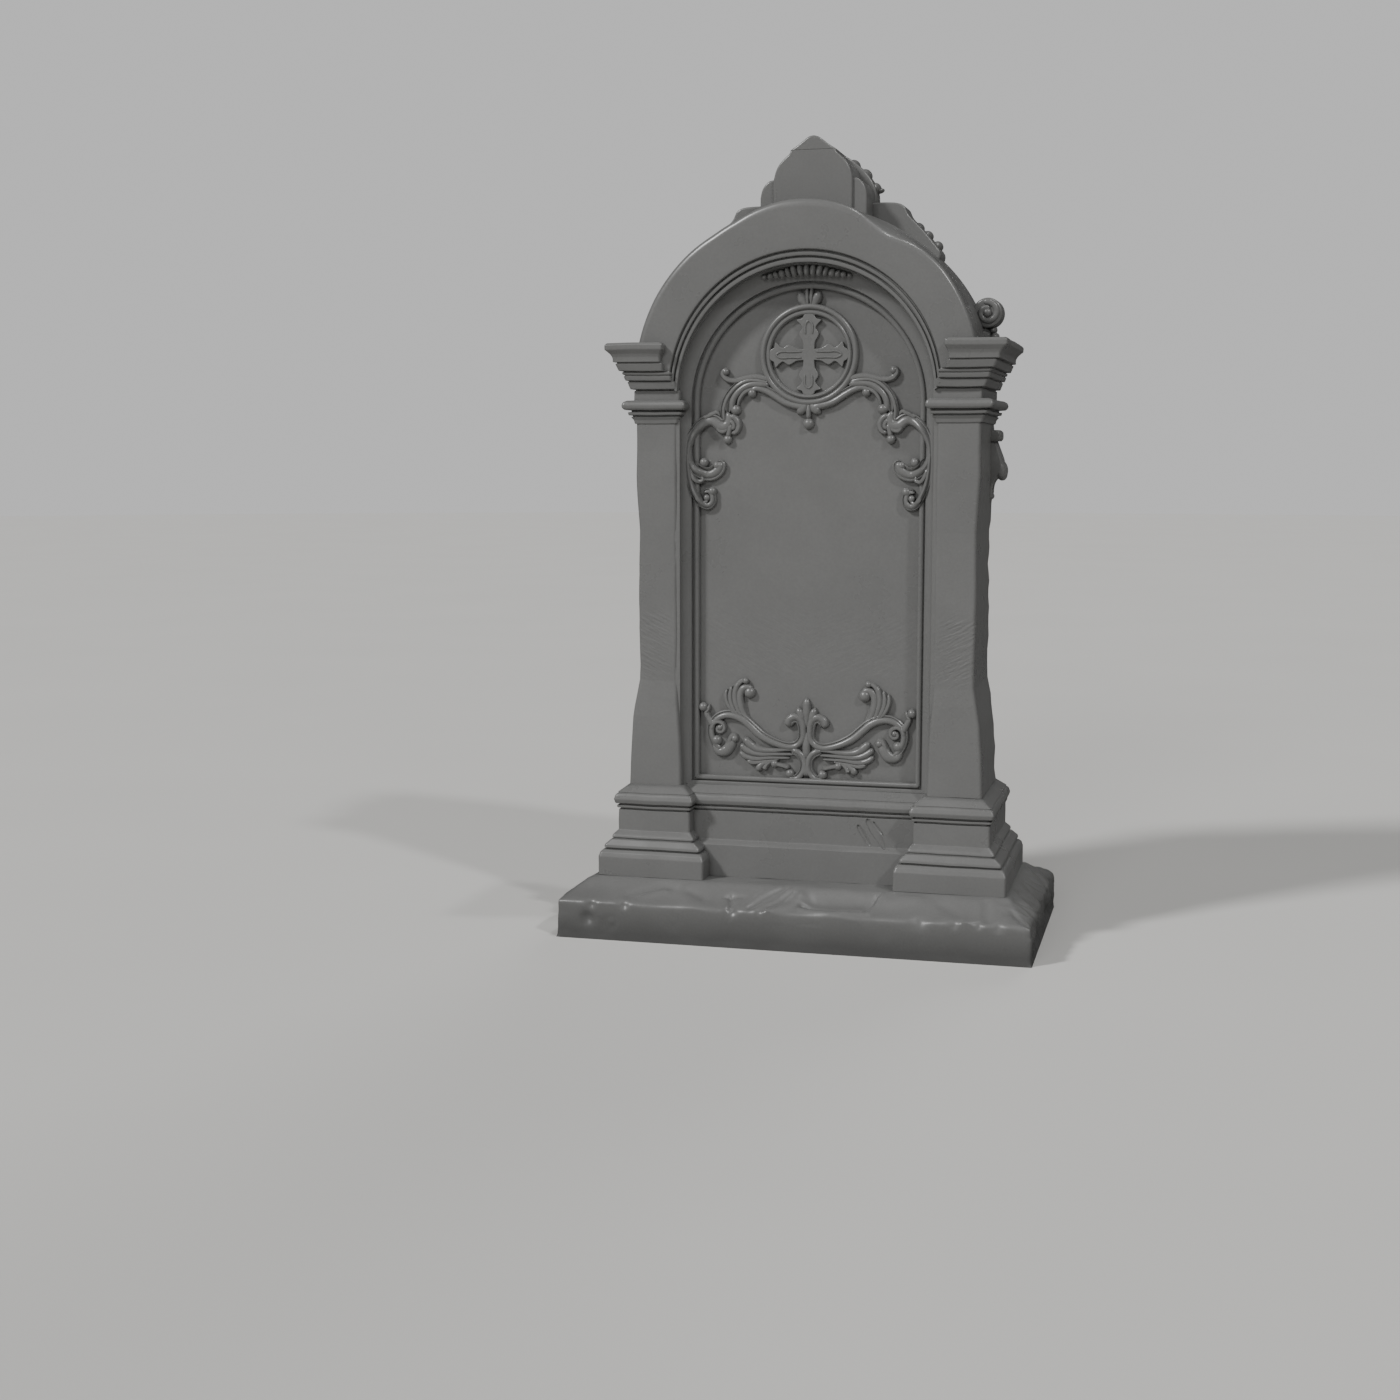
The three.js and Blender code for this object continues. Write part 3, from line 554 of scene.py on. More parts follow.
# Leaf spray on the cove: across, height, and half-sizes sideways, forwards and upwards of each flute
SPRAY = [
    (0, 1333, 7.2, 15, 14),
    (13, 1333, 7.2, 15, 14),
    (26, 1332, 7.2, 15, 14),
    (38, 1329, 6, 13, 11),
    (50, 1326, 7.5, 12, 9),
    (62, 1324, 6, 12, 8),
    (73, 1322, 7, 12, 6.5),
    (85, 1320, 6, 11, 5),
]
SPRAY_DEPTH = -109
# Degrees that a flute leans for each millimetre it stands from the middle
SPRAY_LEAN = 0.55

# Crest: half-outlines from the middle out and down, and their fronts and backs
CREST_FOOT = 1420
CREST_ARRIS = 4
CREST_STEP = 5
TIER_EDGE = [
    (0, STONE_HIGH.z), (9, 1596), (19, 1589.5), (30, 1581), (39, 1575), (46, 1570.5), (47, 1565),
    (56, 1557), (67, 1546), (75, 1532), (80, 1514),
]
TIER_FRONT = -60
TIER_BACK = 78
# The groove under the hood: half-length, then depth and height from in front of the face
HOOD_HALF_LENGTH = 60
HOOD_GROOVE = [(-65, 1562), (-65, 1578), (-59, 1570)]
SHOULDER_EDGE = [(80, 1515), (90, 1513), (99, 1505), (105, 1494), (108, 1480)]
SHOULDER_FRONT = -54
SHOULDER_BACK = 81
WING_ROOT = [(60, 1400), (60, 1473)]
WING_EDGE = [
    (110, 1473), (135, 1473), (158, 1471), (172, 1464), (180, 1448), (196, 1431), (216, 1410),
    (234, 1388), (246, 1370), (238, 1345),
]
WING_STEP = 6
WING_FRONT = 10
WING_BACK = 88
LEAFY_EDGE = [
    (0, 1578), (30, 1578), (50, 1568), (65, 1558), (78, 1547), (90, 1535), (101, 1520), (108, 1505),
    (111, 1490), (111, 1470),
]
LEAFY_FRONT = 40
LEAFY_BACK = 86
# Lobes of the leafy edge and wings: across, height, half-sizes along, deep and out, and the turn of each
CREST_LEAVES = [
    (61, 1554, 13, 22, 11, 40),
    (84, 1533, 14, 24, 13, 48),
    (105, 1507, 12, 22, 11, 62),
    (114, 1502, 5, 12, 9, 75),
    (195, 1427, 11, 22, 9, 45),
    (213, 1410, 11, 22, 10, 45),
    (233, 1389, 11, 22, 10, 50),
]
CREST_LEAF_MIDDLE = 66

# Volutes behind the arch's feet and leaf brackets on the sides of the piers
VOLUTE = {"across": 336, "height": 1255, "radius": 30, "front": 48, "back": 104, "arris": 5}
VOLUTE_EYE = (9, 8, 9)
SPIRAL = {"turns": 1.15, "start": 0.62, "outer": 22, "inner": 9, "half_width": 6.5, "rise": 6, "steps": 40}
# Lumps under the volute: across, depth, height and half-sizes
VOLUTE_FOOT = [(322, 76, 1212, 22, 24, 26), (350, 72, 1208, 9, 16, 9), (346, 76, 1222, 8, 18, 8)]
BRACKET_MIDDLE = 85
BRACKET_ROOT = 325
BRACKET_SOFTNESS = 5
BRACKET_EDGE = 14
ABACUS_ARRIS = 4
BRACKET_ARRIS = 10
ABACUS_ROWS = [
    (1000, BRACKET_ROOT, 362, 34),
    (1004, BRACKET_ROOT, 366, 37),
    (1018, BRACKET_ROOT, 366, 37),
    (1022, BRACKET_ROOT, 361, 33),
]
BRACKET_ROWS = [
    (878, BRACKET_ROOT, 338, 20),
    (884, BRACKET_ROOT, 347, 26),
    (892, BRACKET_ROOT, 350, 29),
    (904, BRACKET_ROOT, 350, 28),
    (918, BRACKET_ROOT, 354, 28),
    (930, BRACKET_ROOT, 364, 32),
    (945, BRACKET_ROOT, 371, 36),
    (960, BRACKET_ROOT, 370, 36),
    (980, BRACKET_ROOT, 364, 34),
    (1001, BRACKET_ROOT, 356, 30),
]
# Lobes of the leaf: across, depth from the middle, height, half-sizes and lean
BRACKET_LOBES = [
    (366, -26, 944, 11, 9, 18, -12),
    (366, -9, 940, 12, 9, 20, -12),
    (366, 9, 940, 12, 9, 20, -12),
    (366, 26, 944, 11, 9, 18, -12),
    (344, 0, 889, 9, 24, 8, 0),
]

# Stone: sizes of the cloudy beds and of the grit, the grit's shades and the strength of its bump
BED_SIZE = 160
BED_RANGE = (0.35, 0.65)
GRIT_SIZE = 5
GRIT_RANGE = (0.3, 0.7)
GRIT_SHADES = (0.95, 1.04)
GRIT_STRENGTH = 0.6
# Painted shade on the foot: heights in metres between which it fades out, and how much of the colour is left
# at the ground
FOOT_SHADE_HEIGHTS = (0.015, 0.1)
FOOT_SHADE = 0.48
# Painted shade in the hollows: how far in metres the walls that shelter them reach, and the openness beyond
# which no shade is painted
HOLLOW_REACH = 0.025
UNSHADED_OPENNESS = 0.45
STONE_IOR = 1.5
# Chisel marks: slant, and sizes along, into the face and across, drawn coarser than real ones so as to show
MARK_SLANT = math.radians(-28)
MARK_SIZES = (26, 20, 6)
# Height in metres where they are deepest, distances over which they fade, and the share that is left beyond
MARK_BAND = 0.59
MARK_FADE = (0.05, 0.08)
MARK_LEFT = 0.12
# Distances in metres over which the piers take over from the tablet, and the tablet's share of the marks
MARK_PIERS = (0.27, 0.29)
MARK_TABLET = 0.3

# Lights: place in metres and width in degrees
LEFT_LIGHT = ((-2.8, -2.8, 3.95), 7)
RIGHT_LIGHT = ((3.0, -2.35, 4.05), 4)
TOP_LIGHT = ((1.5, -0.1, 5.6), 3)
FRONT_FILL = ((-0.6, -4.6, 2.4), 20)
BACK_FILL = ((0.8, 4.6, 2.6), 25)
LIGHT_AIM = Vector((0, 0, 0.85))
# Floor in metres, size of its clouding in millimetres, and the strength of the backdrop
FLOOR_RADIUS = 30
FLOOR_CLOUDS = 900
FLOOR_SHADES = (0.97, 1.03)
FLOOR_ROUGHNESS = 0.85
BACKDROP = 0.62

# Camera: place in metres, turn in degrees and sensor in millimetres
CAMERA_PLACE = (0.7912, -3.9267, 0.9699)
CAMERA_TURN = (82.851, 0, 14.80)
SENSOR = 36


def linear(code):
    """A hex sRGB colour as linear red, green and blue."""
    parts = [int(code[at:at + 2], 16) / 255 for at in (1, 3, 5)]
    return tuple(part / 12.92 if part <= 0.04045 else ((part + 0.055) / 1.055) ** 2.4 for part in parts)


def per_metre(size):
    """The texture scale whose features are a size in millimetres."""
    return 1 / (size * MM)


def interpolate(table, place):
    """The value at a place in a table of rising places and their values."""
    for (low, at_low), (high, at_high) in zip(table, table[1:]):
        if place <= high:
            share = max(0, (place - low) / (high - low))
            return at_low + (at_high - at_low) * share
    return table[-1][1]


def ease(low, high, place):
    """A smooth step from 0 at low to 1 at high."""
    share = min(1, max(0, (place - low) / (high - low)))
    return share * share * (3 - 2 * share)


class SlabSizes(bpy.types.PropertyGroup):
    """Sizes of the ground slab."""

    edge_height: FloatProperty(
        name="Edge height", description="Height of the slab's worn edge", default=0.078, unit="LENGTH")
    roughness: FloatProperty(
        name="Rock face", description="How deep the broken sides are hewn", default=0.011, unit="LENGTH")
    unevenness: FloatProperty(
        name="Unevenness", description="How far the dressed faces wander", default=0.0035, unit="LENGTH")


class StoneSizes(bpy.types.PropertyGroup):
    """Softness and wear of the worked stones."""

    arris: FloatProperty(
        name="Arris", description="Rounding of the upright arrises", default=0.0055, unit="LENGTH")
    softness: FloatProperty(
        name="Softness", description="Rounding of the mouldings' edges", default=0.0016, unit="LENGTH")
    wear: FloatProperty(
        name="Wear", description="How far weather has moved the faces", default=0.0011, unit="LENGTH")
    relief: FloatProperty(
        name="Relief", description="How far the scrollwork stands out", default=0.0125, unit="LENGTH")


class StoneColours(bpy.types.PropertyGroup):
    """Colours of the stone, and the shade painted into its hollows."""

    pale: FloatVectorProperty(
        name="Pale", description="Paler beds of the stone", subtype="COLOR", default=linear("#666665"))
    deep: FloatVectorProperty(
        name="Deep", description="Darker beds of the stone", subtype="COLOR", default=linear("#636362"))
    # A darker colour painted into the hollows as shade, standing in for the shadow that sheltering walls
    # cast.
    painted_hollow_shade: FloatVectorProperty(
        name="Painted hollow shade", description="Shade painted into the hollows", subtype="COLOR", default=linear("#50504e"))


class StageSettings(bpy.types.PropertyGroup):
    """Floor, lights and camera."""

    lens: FloatProperty(name="Lens", description="Focal length of the camera", default=50, unit="CAMERA")
    left_strength: FloatProperty(
        name="Left light", description="Strength of the light from the left", default=2.5)
    right_strength: FloatProperty(
        name="Right light", description="Strength of the light from the right", default=1.1)
    top_strength: FloatProperty(
        name="Top light", description="Strength of the light from above", default=0.55)
    front_strength: FloatProperty(
        name="Front fill", description="Strength of the soft light from the front", default=1.05)
    back_strength: FloatProperty(
        name="Back fill", description="Strength of the soft light from the back", default=1)
    ambient: FloatProperty(
        name="Ambient", description="Strength of the light from all around", default=0.06)
    floor: FloatVectorProperty(
        name="Floor", description="Colour of the floor", subtype="COLOR", default=linear("#c4c3c0"))


def rounded(rows, radius):
    """The same profile with each corner between its ends rounded."""
    soft = [tuple(rows[0])]
    for before, here, after in zip(rows, rows[1:], rows[2:]):
        corner = Vector(here)
        into = Vector(before) - corner
        out = Vector(after) - corner
        start = into * min(ROUND_LIMIT, radius / max(into.length, radius))
        end = out * min(ROUND_LIMIT, radius / max(out.length, radius))
        soft += [tuple(corner + start), tuple(corner + (start + end) / 4), tuple(corner + end)]
    return [*soft, tuple(rows[-1])]


def cut_long_edges(bm, longest):
    """Halves edges until none is longer than asked."""
    while True:
        edges = [edge for edge in bm.edges if edge.calc_length() > longest]
        if not edges:
            return
        bmesh.ops.subdivide_edges(bm, edges=edges, cuts=1, use_grid_fill=True)


def extrude_face(bm, face):
    """Draws a face out by one step and gives the new end face."""
    grown = bmesh.ops.extrude_face_region(bm, geom=[face, *face.edges])["geom"]
    return next(part for part in grown if isinstance(part, bmesh.types.BMFace))


def weather(bm, depth, size):
    """Shifts the skin in slow waves, as rain and frost wear it, without crossing the fine grooves."""
    # Without a seed the vector noise starts from the clock, and each run would differ.
    noise.seed_set(WEATHER_SEED)
    for corner in bm.verts:
        wave = noise.noise_vector(corner.co / size)
        wave += FINE_WAVE * noise.noise_vector(corner.co / (size * FINE_WAVE_LENGTH))
        corner.co += depth * wave
    return bm


def stack(rows, arris):
    """Rectangles with rounded corners, drawn up through rows of height, left, right and half-depth."""
    bm = bmesh.new()
    height, left, right, depth = rows[0]
    bmesh.ops.create_grid(bm, x_segments=1, y_segments=1, size=0.5)
    place = Matrix.Translation(((left + right) / 2, 0, height))
    bmesh.ops.transform(bm, matrix=place @ Matrix.Diagonal((right - left, 2 * depth, 1, 1)), verts=bm.verts)
    bmesh.ops.bevel(
        bm, geom=bm.verts[:], affect="VERTICES", offset=arris, segments=4, profile=0.5, material=-1)
    top = bm.faces[:][0]
    for low, high in zip(rows, rows[1:]):
        top = extrude_face(bm, top)
        middle = (low[1] + low[2]) / 2
        for corner in top.verts:
            column = 1 if corner.co.x < middle else 2
            corner.co.x += high[column] - low[column]
            corner.co.y += (high[3] - low[3]) * (1 if corner.co.y > 0 else -1)
            corner.co.z = high[0]
    return bm


def side_rows(rows, side):
    """Rows of height, inner side, outer side and half-depth, set out on one side of the middle."""
    if side > 0:
        return rows
    return [(height, -outer, -inner, depth) for height, inner, outer, depth in rows]


def plate(outline, front, back, arris):
    """An upright plate with an outline of across and height, its edges rounded."""
    bm = bmesh.new()
    face = bm.faces.new([bm.verts.new((across, front, height)) for across, height in outline])
    bmesh.ops.translate(bm, vec=(0, back - front, 0), verts=extrude_face(bm, face).verts)
    bmesh.ops.recalc_face_normals(bm, faces=bm.faces)
    rims = [edge for edge in bm.edges if abs(edge.verts[0].co.y - edge.verts[1].co.y) < MM]
    bmesh.ops.bevel(bm, geom=rims, affect="EDGES", offset=arris, segments=3, profile=0.5, material=-1)
    return bm


def arch_outline(half_width, centre, foot):
    """An arched outline of across and height."""
    turns = [math.pi * step / ARCH_STEPS for step in range(ARCH_STEPS + 1)]
    arc = [(half_width * math.cos(turn), centre + half_width * math.sin(turn)) for turn in turns]
    return [(half_width, foot), *arc, (-half_width, foot)]


def arch(section, foot, leg_foot=None):
    """A section of radius and depth swept over the arch, from a foot on one side to the other."""
    bm = bmesh.new()
    corners = [bm.verts.new((radius, depth, 0)) for radius, depth in section]
    bm.faces.new(corners)
    radius, _ = section[0]
    start = math.asin(max(0, foot - interpolate(ARCH_CENTRES, radius)) / radius)
    bmesh.ops.rotate(bm, verts=corners, cent=(0, 0, 0), matrix=Matrix.Rotation(-start, 3, "Y"))
    bmesh.ops.spin(
        bm, geom=bm.verts[:] + bm.edges[:] + bm.faces[:], cent=(0, 0, 0), axis=(0, -1, 0),
        angle=math.pi - 2 * start, steps=ARCH_STEPS, dvec=(0, 0, 0), use_duplicate=False)
    for corner in bm.verts:
        corner.co.z += interpolate(ARCH_CENTRES, math.hypot(corner.co.x, corner.co.z))
    if leg_foot is not None:
        for end in end_faces(bm):
            for corner in extrude_face(bm, end).verts:
                corner.co.z = leg_foot
    return bm


def end_faces(bm):
    """The two faces that close the ends of a sweep."""
    most = max(len(face.verts) for face in bm.faces)
    return [face for face in bm.faces if len(face.verts) == most]


def bar(section, left, right):
    """A straight bar with a section of depth and height."""
    bm = bmesh.new()
    face = bm.faces.new([bm.verts.new((left, depth, height)) for depth, height in section])
    bmesh.ops.translate(bm, vec=(right - left, 0, 0), verts=extrude_face(bm, face).verts)
    return bm


def curve_points(knots, step):
    """Points at an even step along a smooth curve through the knots."""
    knots = [Vector((across, 0, height)) for across, height in knots]
    ends = [2 * knots[0] - knots[1], *knots, 2 * knots[-1] - knots[-2]]
    fine = [knots[0]]
    for before, here, there, after in zip(ends, ends[1:], ends[2:], ends[3:]):
        leave = here + (there - before) / 6
        arrive = there - (after - here) / 6
        fine += geometry.interpolate_bezier(here, leave, arrive, there, CURVE_FINENESS)[1:]
    lengths = [0]
    for here, there in zip(fine, fine[1:]):
        lengths.append(lengths[-1] + (there - here).length)
    count = max(3, round(lengths[-1] / step))
    across = [(length, point.x) for length, point in zip(lengths, fine)]
    height = [(length, point.z) for length, point in zip(lengths, fine)]
    places = [lengths[-1] * number / count for number in range(count + 1)]
    return [(interpolate(across, place), interpolate(height, place)) for place in places]


def strand(knots, half_width, section, widths, rise, root, climbs=True):
    """A strand of carving along a curve, rising forwards from a root plane."""
    points = [Vector(point) for point in curve_points(knots, STRAND_STEP)]
    bm = bmesh.new()
    end = None
    for number, place in enumerate(points):
        before = points[max(number - 1, 0)]
        after = points[min(number + 1, len(points) - 1)]
        along = (after - before).normalized()
        near = min(number, len(points) - 1 - number) * STRAND_STEP / half_width
        blunt = math.sqrt(max(BLUNT, 1 - (1 - min(1, near)) ** 2))
        share = blunt * interpolate(widths, number / (len(points) - 1))
        lift = SINK + rise * (LEAST_RISE + (1 - LEAST_RISE) * share)
        if climbs:
            lift += CLIMB_HEIGHT * ease(CLIMB_START, CLIMB_END, abs(place.x))
        ring = []
        for sideways, height in section:
            reach = sideways * half_width * share
            ring.append((place.x - along.y * reach, root + SINK - lift * height, place.y + along.x * reach))
        if end is None:
            end = bm.faces.new([bm.verts.new(corner) for corner in ring])
            continue
        end = extrude_face(bm, end)
        for corner, target in zip(end.verts, ring):
            corner.co = target
    return bm


def with_twin(bm):
    """A shell and its mirror image on the other side of the middle."""
    twin = bm.copy()
    bmesh.ops.scale(twin, vec=(-1, 1, 1), verts=twin.verts)
    return [bm, twin]


def ellipsoid(middle, sizes, turn=0):
    """A rounded lump, turned in the plane of the tablet by degrees."""
    bm = bmesh.new()
    bmesh.ops.create_uvsphere(bm, u_segments=18, v_segments=11, radius=1)
    place = Matrix.Translation(middle) @ Matrix.Rotation(math.radians(turn), 4, "Y")
    bmesh.ops.transform(bm, matrix=place @ Matrix.Diagonal((*sizes, 1)), verts=bm.verts)
    return bm


def bud(across, height, radius, rise):
    """A round bud on the tablet."""
    climb = CLIMB_HEIGHT * ease(CLIMB_START, CLIMB_END, abs(across))
    front = TABLET_FACE - rise - climb - BUD_PROUD * radius
    return ellipsoid((across, front + radius, height), (radius, radius, radius))


def scrollwork(rise):
    """Strands, buds and leaves of the tablet's relief."""
    shells = [bud(*DROP_BALL, rise)]
    for half_width, section, widths, knots in UPPER_STRANDS + LOWER_STRANDS:
        shells += with_twin(strand(knots, half_width, section, widths, rise, TABLET_FACE))
    for across, height, radius in BUDS:
        shells += with_twin(bud(across, height, radius, rise))
    for half_width, knots in LEAVES:
        leaf = strand(knots, half_width, ROLL, LEAF, rise, TABLET_FACE)
        shells += with_twin(leaf) if knots[-1][0] else [leaf]
    return shells


def medallion():
    """The double roll around the cross."""
    bm = bmesh.new()
    section = [(radius, TABLET_FACE - rise, MEDALLION_HEIGHT) for radius, rise in MEDALLION_SECTION]
    bm.faces.new([bm.verts.new(corner) for corner in section])
    bmesh.ops.delete(bm, geom=bm.faces[:], context="FACES_ONLY")
    bmesh.ops.spin(
        bm, geom=bm.verts[:] + bm.edges[:], cent=(0, 0, MEDALLION_HEIGHT), axis=(0, -1, 0),
        angle=2 * math.pi, steps=MEDALLION_STEPS, dvec=(0, 0, 0), use_merge=True, use_duplicate=False)
    return bm


def cross():
    """A cross with scalloped arms and a raised line on each arm."""
    half = curve_points(CROSS_ARM, CROSS_STEP)
    arm = half + [(along, -reach) for along, reach in reversed(half[1:-1])]
    face = TABLET_FACE - CROSS_RISE
    outline = []
    lines = []
    for number in range(CROSS_ARMS):
        turn = Matrix.Rotation(-2 * math.pi * number / CROSS_ARMS, 2)
        outline += [turn @ Vector(point) for point in arm]
        line = [turn @ Vector(point) for point in CROSS_LINES[number % 2]]
        knots = [(point.x, MEDALLION_HEIGHT + point.y) for point in line]
        lines.append(
            strand(knots, CROSS_LINE_HALF_WIDTH, ROLL, EVEN, CROSS_LINE_RISE, face, climbs=False))
    outline = [(point.x, MEDALLION_HEIGHT + point.y) for point in outline]
    return [plate(outline, face, TABLET_FACE + SINK, CROSS_CHAMFER), *lines]


def spray():
    """A fan of flutes on the cove at the crown of the arch."""
    flutes = []
    for across, height, *sizes in SPRAY:
        for side in (1, -1) if across else (1,):
            place = (side * across, SPRAY_DEPTH, height)
            flutes.append(ellipsoid(place, sizes, side * SPRAY_LEAN * across))
    return flutes


def arch_mouldings():
    """Ring, fillet, band, cove and roll frame, with the rail and sill under the tablet."""
    ring = arch(RING_SECTION, RING_FOOT)
    _, ring_centre = ARCH_CENTRES[-1]
    for corner in ring.verts:
        out = Vector((corner.co.x, 0, corner.co.z - ring_centre))
        turn = math.degrees(math.atan2(out.z, out.x))
        wear = interpolate(RING_WEAR, turn) * ease(*WORN_FORWARDS, -corner.co.y)
        chip = CHIP_DEPTH * math.exp(-((turn - CHIP_MIDDLE) / CHIP_SPREAD) ** 2)
        wear -= chip * ease(*CHIP_FORWARDS, -corner.co.y)
        corner.co += out.normalized() * wear * ease(*WORN_OUTWARDS, out.length)
    cove = []
    for step in range(COVE_STEPS + 1):
        turn = math.pi / 2 * step / COVE_STEPS
        radius = COVE_OUTER[0] + (COVE_INNER[0] - COVE_OUTER[0]) * (1 - math.cos(turn))
        cove.append((radius, COVE_OUTER[1] + (COVE_INNER[1] - COVE_OUTER[1]) * math.sin(turn)))
    cove = [(COVE_ROOT, COVE_OUTER[1]), *cove, *COVE_LEDGE, (COVE_ROOT, COVE_LEDGE[-1][1])]
    roll = []
    for step in range(ROLL_STEPS + 1):
        turn = math.pi * (1 + step / ROLL_STEPS)
        roll.append((ROLL_RADIUS * math.cos(turn), ROLL_MIDDLE[1] + ROLL_RADIUS * math.sin(turn)))
    roll += [(ROLL_RADIUS, TABLET_FACE + SINK), (-ROLL_RADIUS, TABLET_FACE + SINK)]
    frame_roll = [(ROLL_MIDDLE[0] + offset, depth) for offset, depth in roll]
    rail = [(depth, TABLET_FOOT + offset) for offset, depth in roll]
    sill = [
        (SILL_FRONT, STONE_LOW.z), (SILL_FRONT, SILL_TOP - SILL_CHAMFER),
        (SILL_FRONT + SILL_CHAMFER, SILL_TOP), (0, SILL_TOP), (0, STONE_LOW.z),
    ]
    return [
        ring,
        arch(FILLET_SECTION, FILLET_FOOT),
        arch(BAND_SECTION, BAND_FOOT),
        arch(cove, 0, STONE_LOW.z),
        arch(frame_roll, 0, TABLET_FOOT),
        bar(rail, -ROLL_MIDDLE[0], ROLL_MIDDLE[0]),
        bar(sill, -CORE_HALF_WIDTH, CORE_HALF_WIDTH),
    ]


def pier(side, sizes):
    """A worn pier with its neck moulding and capital."""
    shells = []
    for rows, arris, longest in PIER_PARTS:
        soft = rounded(side_rows(rows, side), sizes.softness / MM)
        bm = stack(soft, arris * sizes.arris / MM)
        cut_long_edges(bm, longest)
        for corner in bm.verts:
            wave = noise.noise(Vector((side, 0, corner.co.z / REAR_WAVES)))
            corner.co.x -= side * REAR_WEAR * ease(*REAR_WEAR_DEPTHS, corner.co.y) * abs(wave)
        shells.append(weather(bm, sizes.wear / MM, PIER_WAVES))
    return shells


def half_shape(edge, foot):
    """A closed outline from half of its upper edge, drawn out from the middle, and a foot."""
    half = curve_points(edge, CREST_STEP)
    last, _ = half[-1]
    right = [*half, (last, foot)]
    left = [(-across, height) for across, height in reversed(right) if across]
    return right + left


def crest():
    """The hood, tier and shoulders over the arch, with wings and leaves behind."""
    shells = [
        plate(half_shape(TIER_EDGE, CREST_FOOT), TIER_FRONT, TIER_BACK, CREST_ARRIS),
        plate(half_shape(SHOULDER_EDGE, CREST_FOOT), SHOULDER_FRONT, SHOULDER_BACK, CREST_ARRIS),
        plate(half_shape(LEAFY_EDGE, CREST_FOOT), LEAFY_FRONT, LEAFY_BACK, CREST_ARRIS),
    ]
    wing = [*WING_ROOT, *curve_points(WING_EDGE, WING_STEP)]
    for side in (1, -1):
        outline = [(side * across, height) for across, height in wing]
        shells.append(plate(outline, WING_FRONT, WING_BACK, CREST_ARRIS))
        for across, height, *sizes, turn in CREST_LEAVES:
            shells.append(ellipsoid((side * across, CREST_LEAF_MIDDLE, height), sizes, side * turn))
    return shells


def volutes():
    """Rolled scrolls behind the arch's feet, with a spiral on the end of each and beads below."""
    bm = bmesh.new()
    depth = VOLUTE["back"] - VOLUTE["front"]
    bmesh.ops.create_cone(
        bm, cap_ends=True, segments=40, radius1=VOLUTE["radius"], radius2=VOLUTE["radius"], depth=depth)
    rims = [edge for edge in bm.edges if abs(edge.verts[0].co.z - edge.verts[1].co.z) < MM]
    bmesh.ops.bevel(
        bm, geom=rims, affect="EDGES", offset=VOLUTE["arris"], segments=3, profile=0.5, material=-1)
    place = Matrix.Translation((VOLUTE["across"], VOLUTE["front"] + depth / 2, VOLUTE["height"]))
    bmesh.ops.transform(bm, matrix=place @ Matrix.Rotation(math.pi / 2, 4, "X"), verts=bm.verts)
    knots = []
    for step in range(SPIRAL["steps"] + 1):
        share = step / SPIRAL["steps"]
        turn = math.pi * (SPIRAL["start"] - 2 * SPIRAL["turns"] * share)
        radius = SPIRAL["outer"] + (SPIRAL["inner"] - SPIRAL["outer"]) * share
        out = radius * math.cos(turn)
        up = radius * math.sin(turn)
        knots.append((VOLUTE["across"] + out, VOLUTE["height"] + up))
    shells = with_twin(bm)
    shells += with_twin(
        strand(knots, SPIRAL["half_width"], ROLL, EVEN, SPIRAL["rise"], VOLUTE["front"], climbs=False))
    shells += with_twin(ellipsoid((VOLUTE["across"], VOLUTE["front"], VOLUTE["height"]), VOLUTE_EYE))
    for across, middle, height, *sizes in VOLUTE_FOOT:
        shells += with_twin(ellipsoid((across, middle, height), sizes))
    return shells


def brackets(sizes):
    """Curling leaves, each under a small abacus."""
    shells = []
    for rows, arris in ((ABACUS_ROWS, ABACUS_ARRIS), (BRACKET_ROWS, BRACKET_ARRIS)):
        bm = stack(rounded(rows, BRACKET_SOFTNESS), arris)
        bmesh.ops.translate(bm, vec=(0, BRACKET_MIDDLE, 0), verts=bm.verts)
        cut_long_edges(bm, BRACKET_EDGE)
        shells += with_twin(weather(bm, sizes.wear / MM, BRACKET_WAVES))
    for across, depth, height, *lobe, lean in BRACKET_LOBES:
        shells += with_twin(ellipsoid((across, BRACKET_MIDDLE + depth, height), lobe, lean))
    return shells


def helper_object(name, bm):
    """A closed shell as an object in metres, its faces pointing out."""
    bmesh.ops.recalc_face_normals(bm, faces=bm.faces)
    bmesh.ops.scale(bm, vec=(MM, MM, MM), verts=bm.verts)
    mesh = bpy.data.meshes.new(name)
    bm.to_mesh(mesh)
    bm.free()
    return bpy.data.objects.new(name, mesh)


def unite(name, shells, cutters=()):
    """One closed mesh from shells that run into each other, less what the cutters take away."""
    whole = helper_object(name + "_shell", shells[0])
    bpy.context.scene.collection.objects.link(whole)
    groups = []
    for operation, parts in (("UNION", shells[1:]), ("DIFFERENCE", cutters)):
        if not parts:
            continue
        group = bpy.data.collections.new(name + operation)
        bpy.context.scene.collection.children.link(group)
        groups.append(group)
        for part in parts:
            group.objects.link(helper_object(name + operation, part))
        modifier = whole.modifiers.new(operation, "BOOLEAN")
        modifier.operation = operation
        modifier.solver = "MANIFOLD"
        modifier.operand_type = "COLLECTION"
        modifier.collection = group
    depsgraph = bpy.context.evaluated_depsgraph_get()
    mesh = bpy.data.meshes.new_from_object(whole.evaluated_get(depsgraph))
    if not mesh.polygons:
        raise RuntimeError(f"{name}: the shells did not unite")
    for group in groups:
        for part in group.objects[:]:
            bpy.data.objects.remove(part)
        bpy.data.collections.remove(group)
    bpy.data.objects.remove(whole)
    mesh.name = name
    return mesh


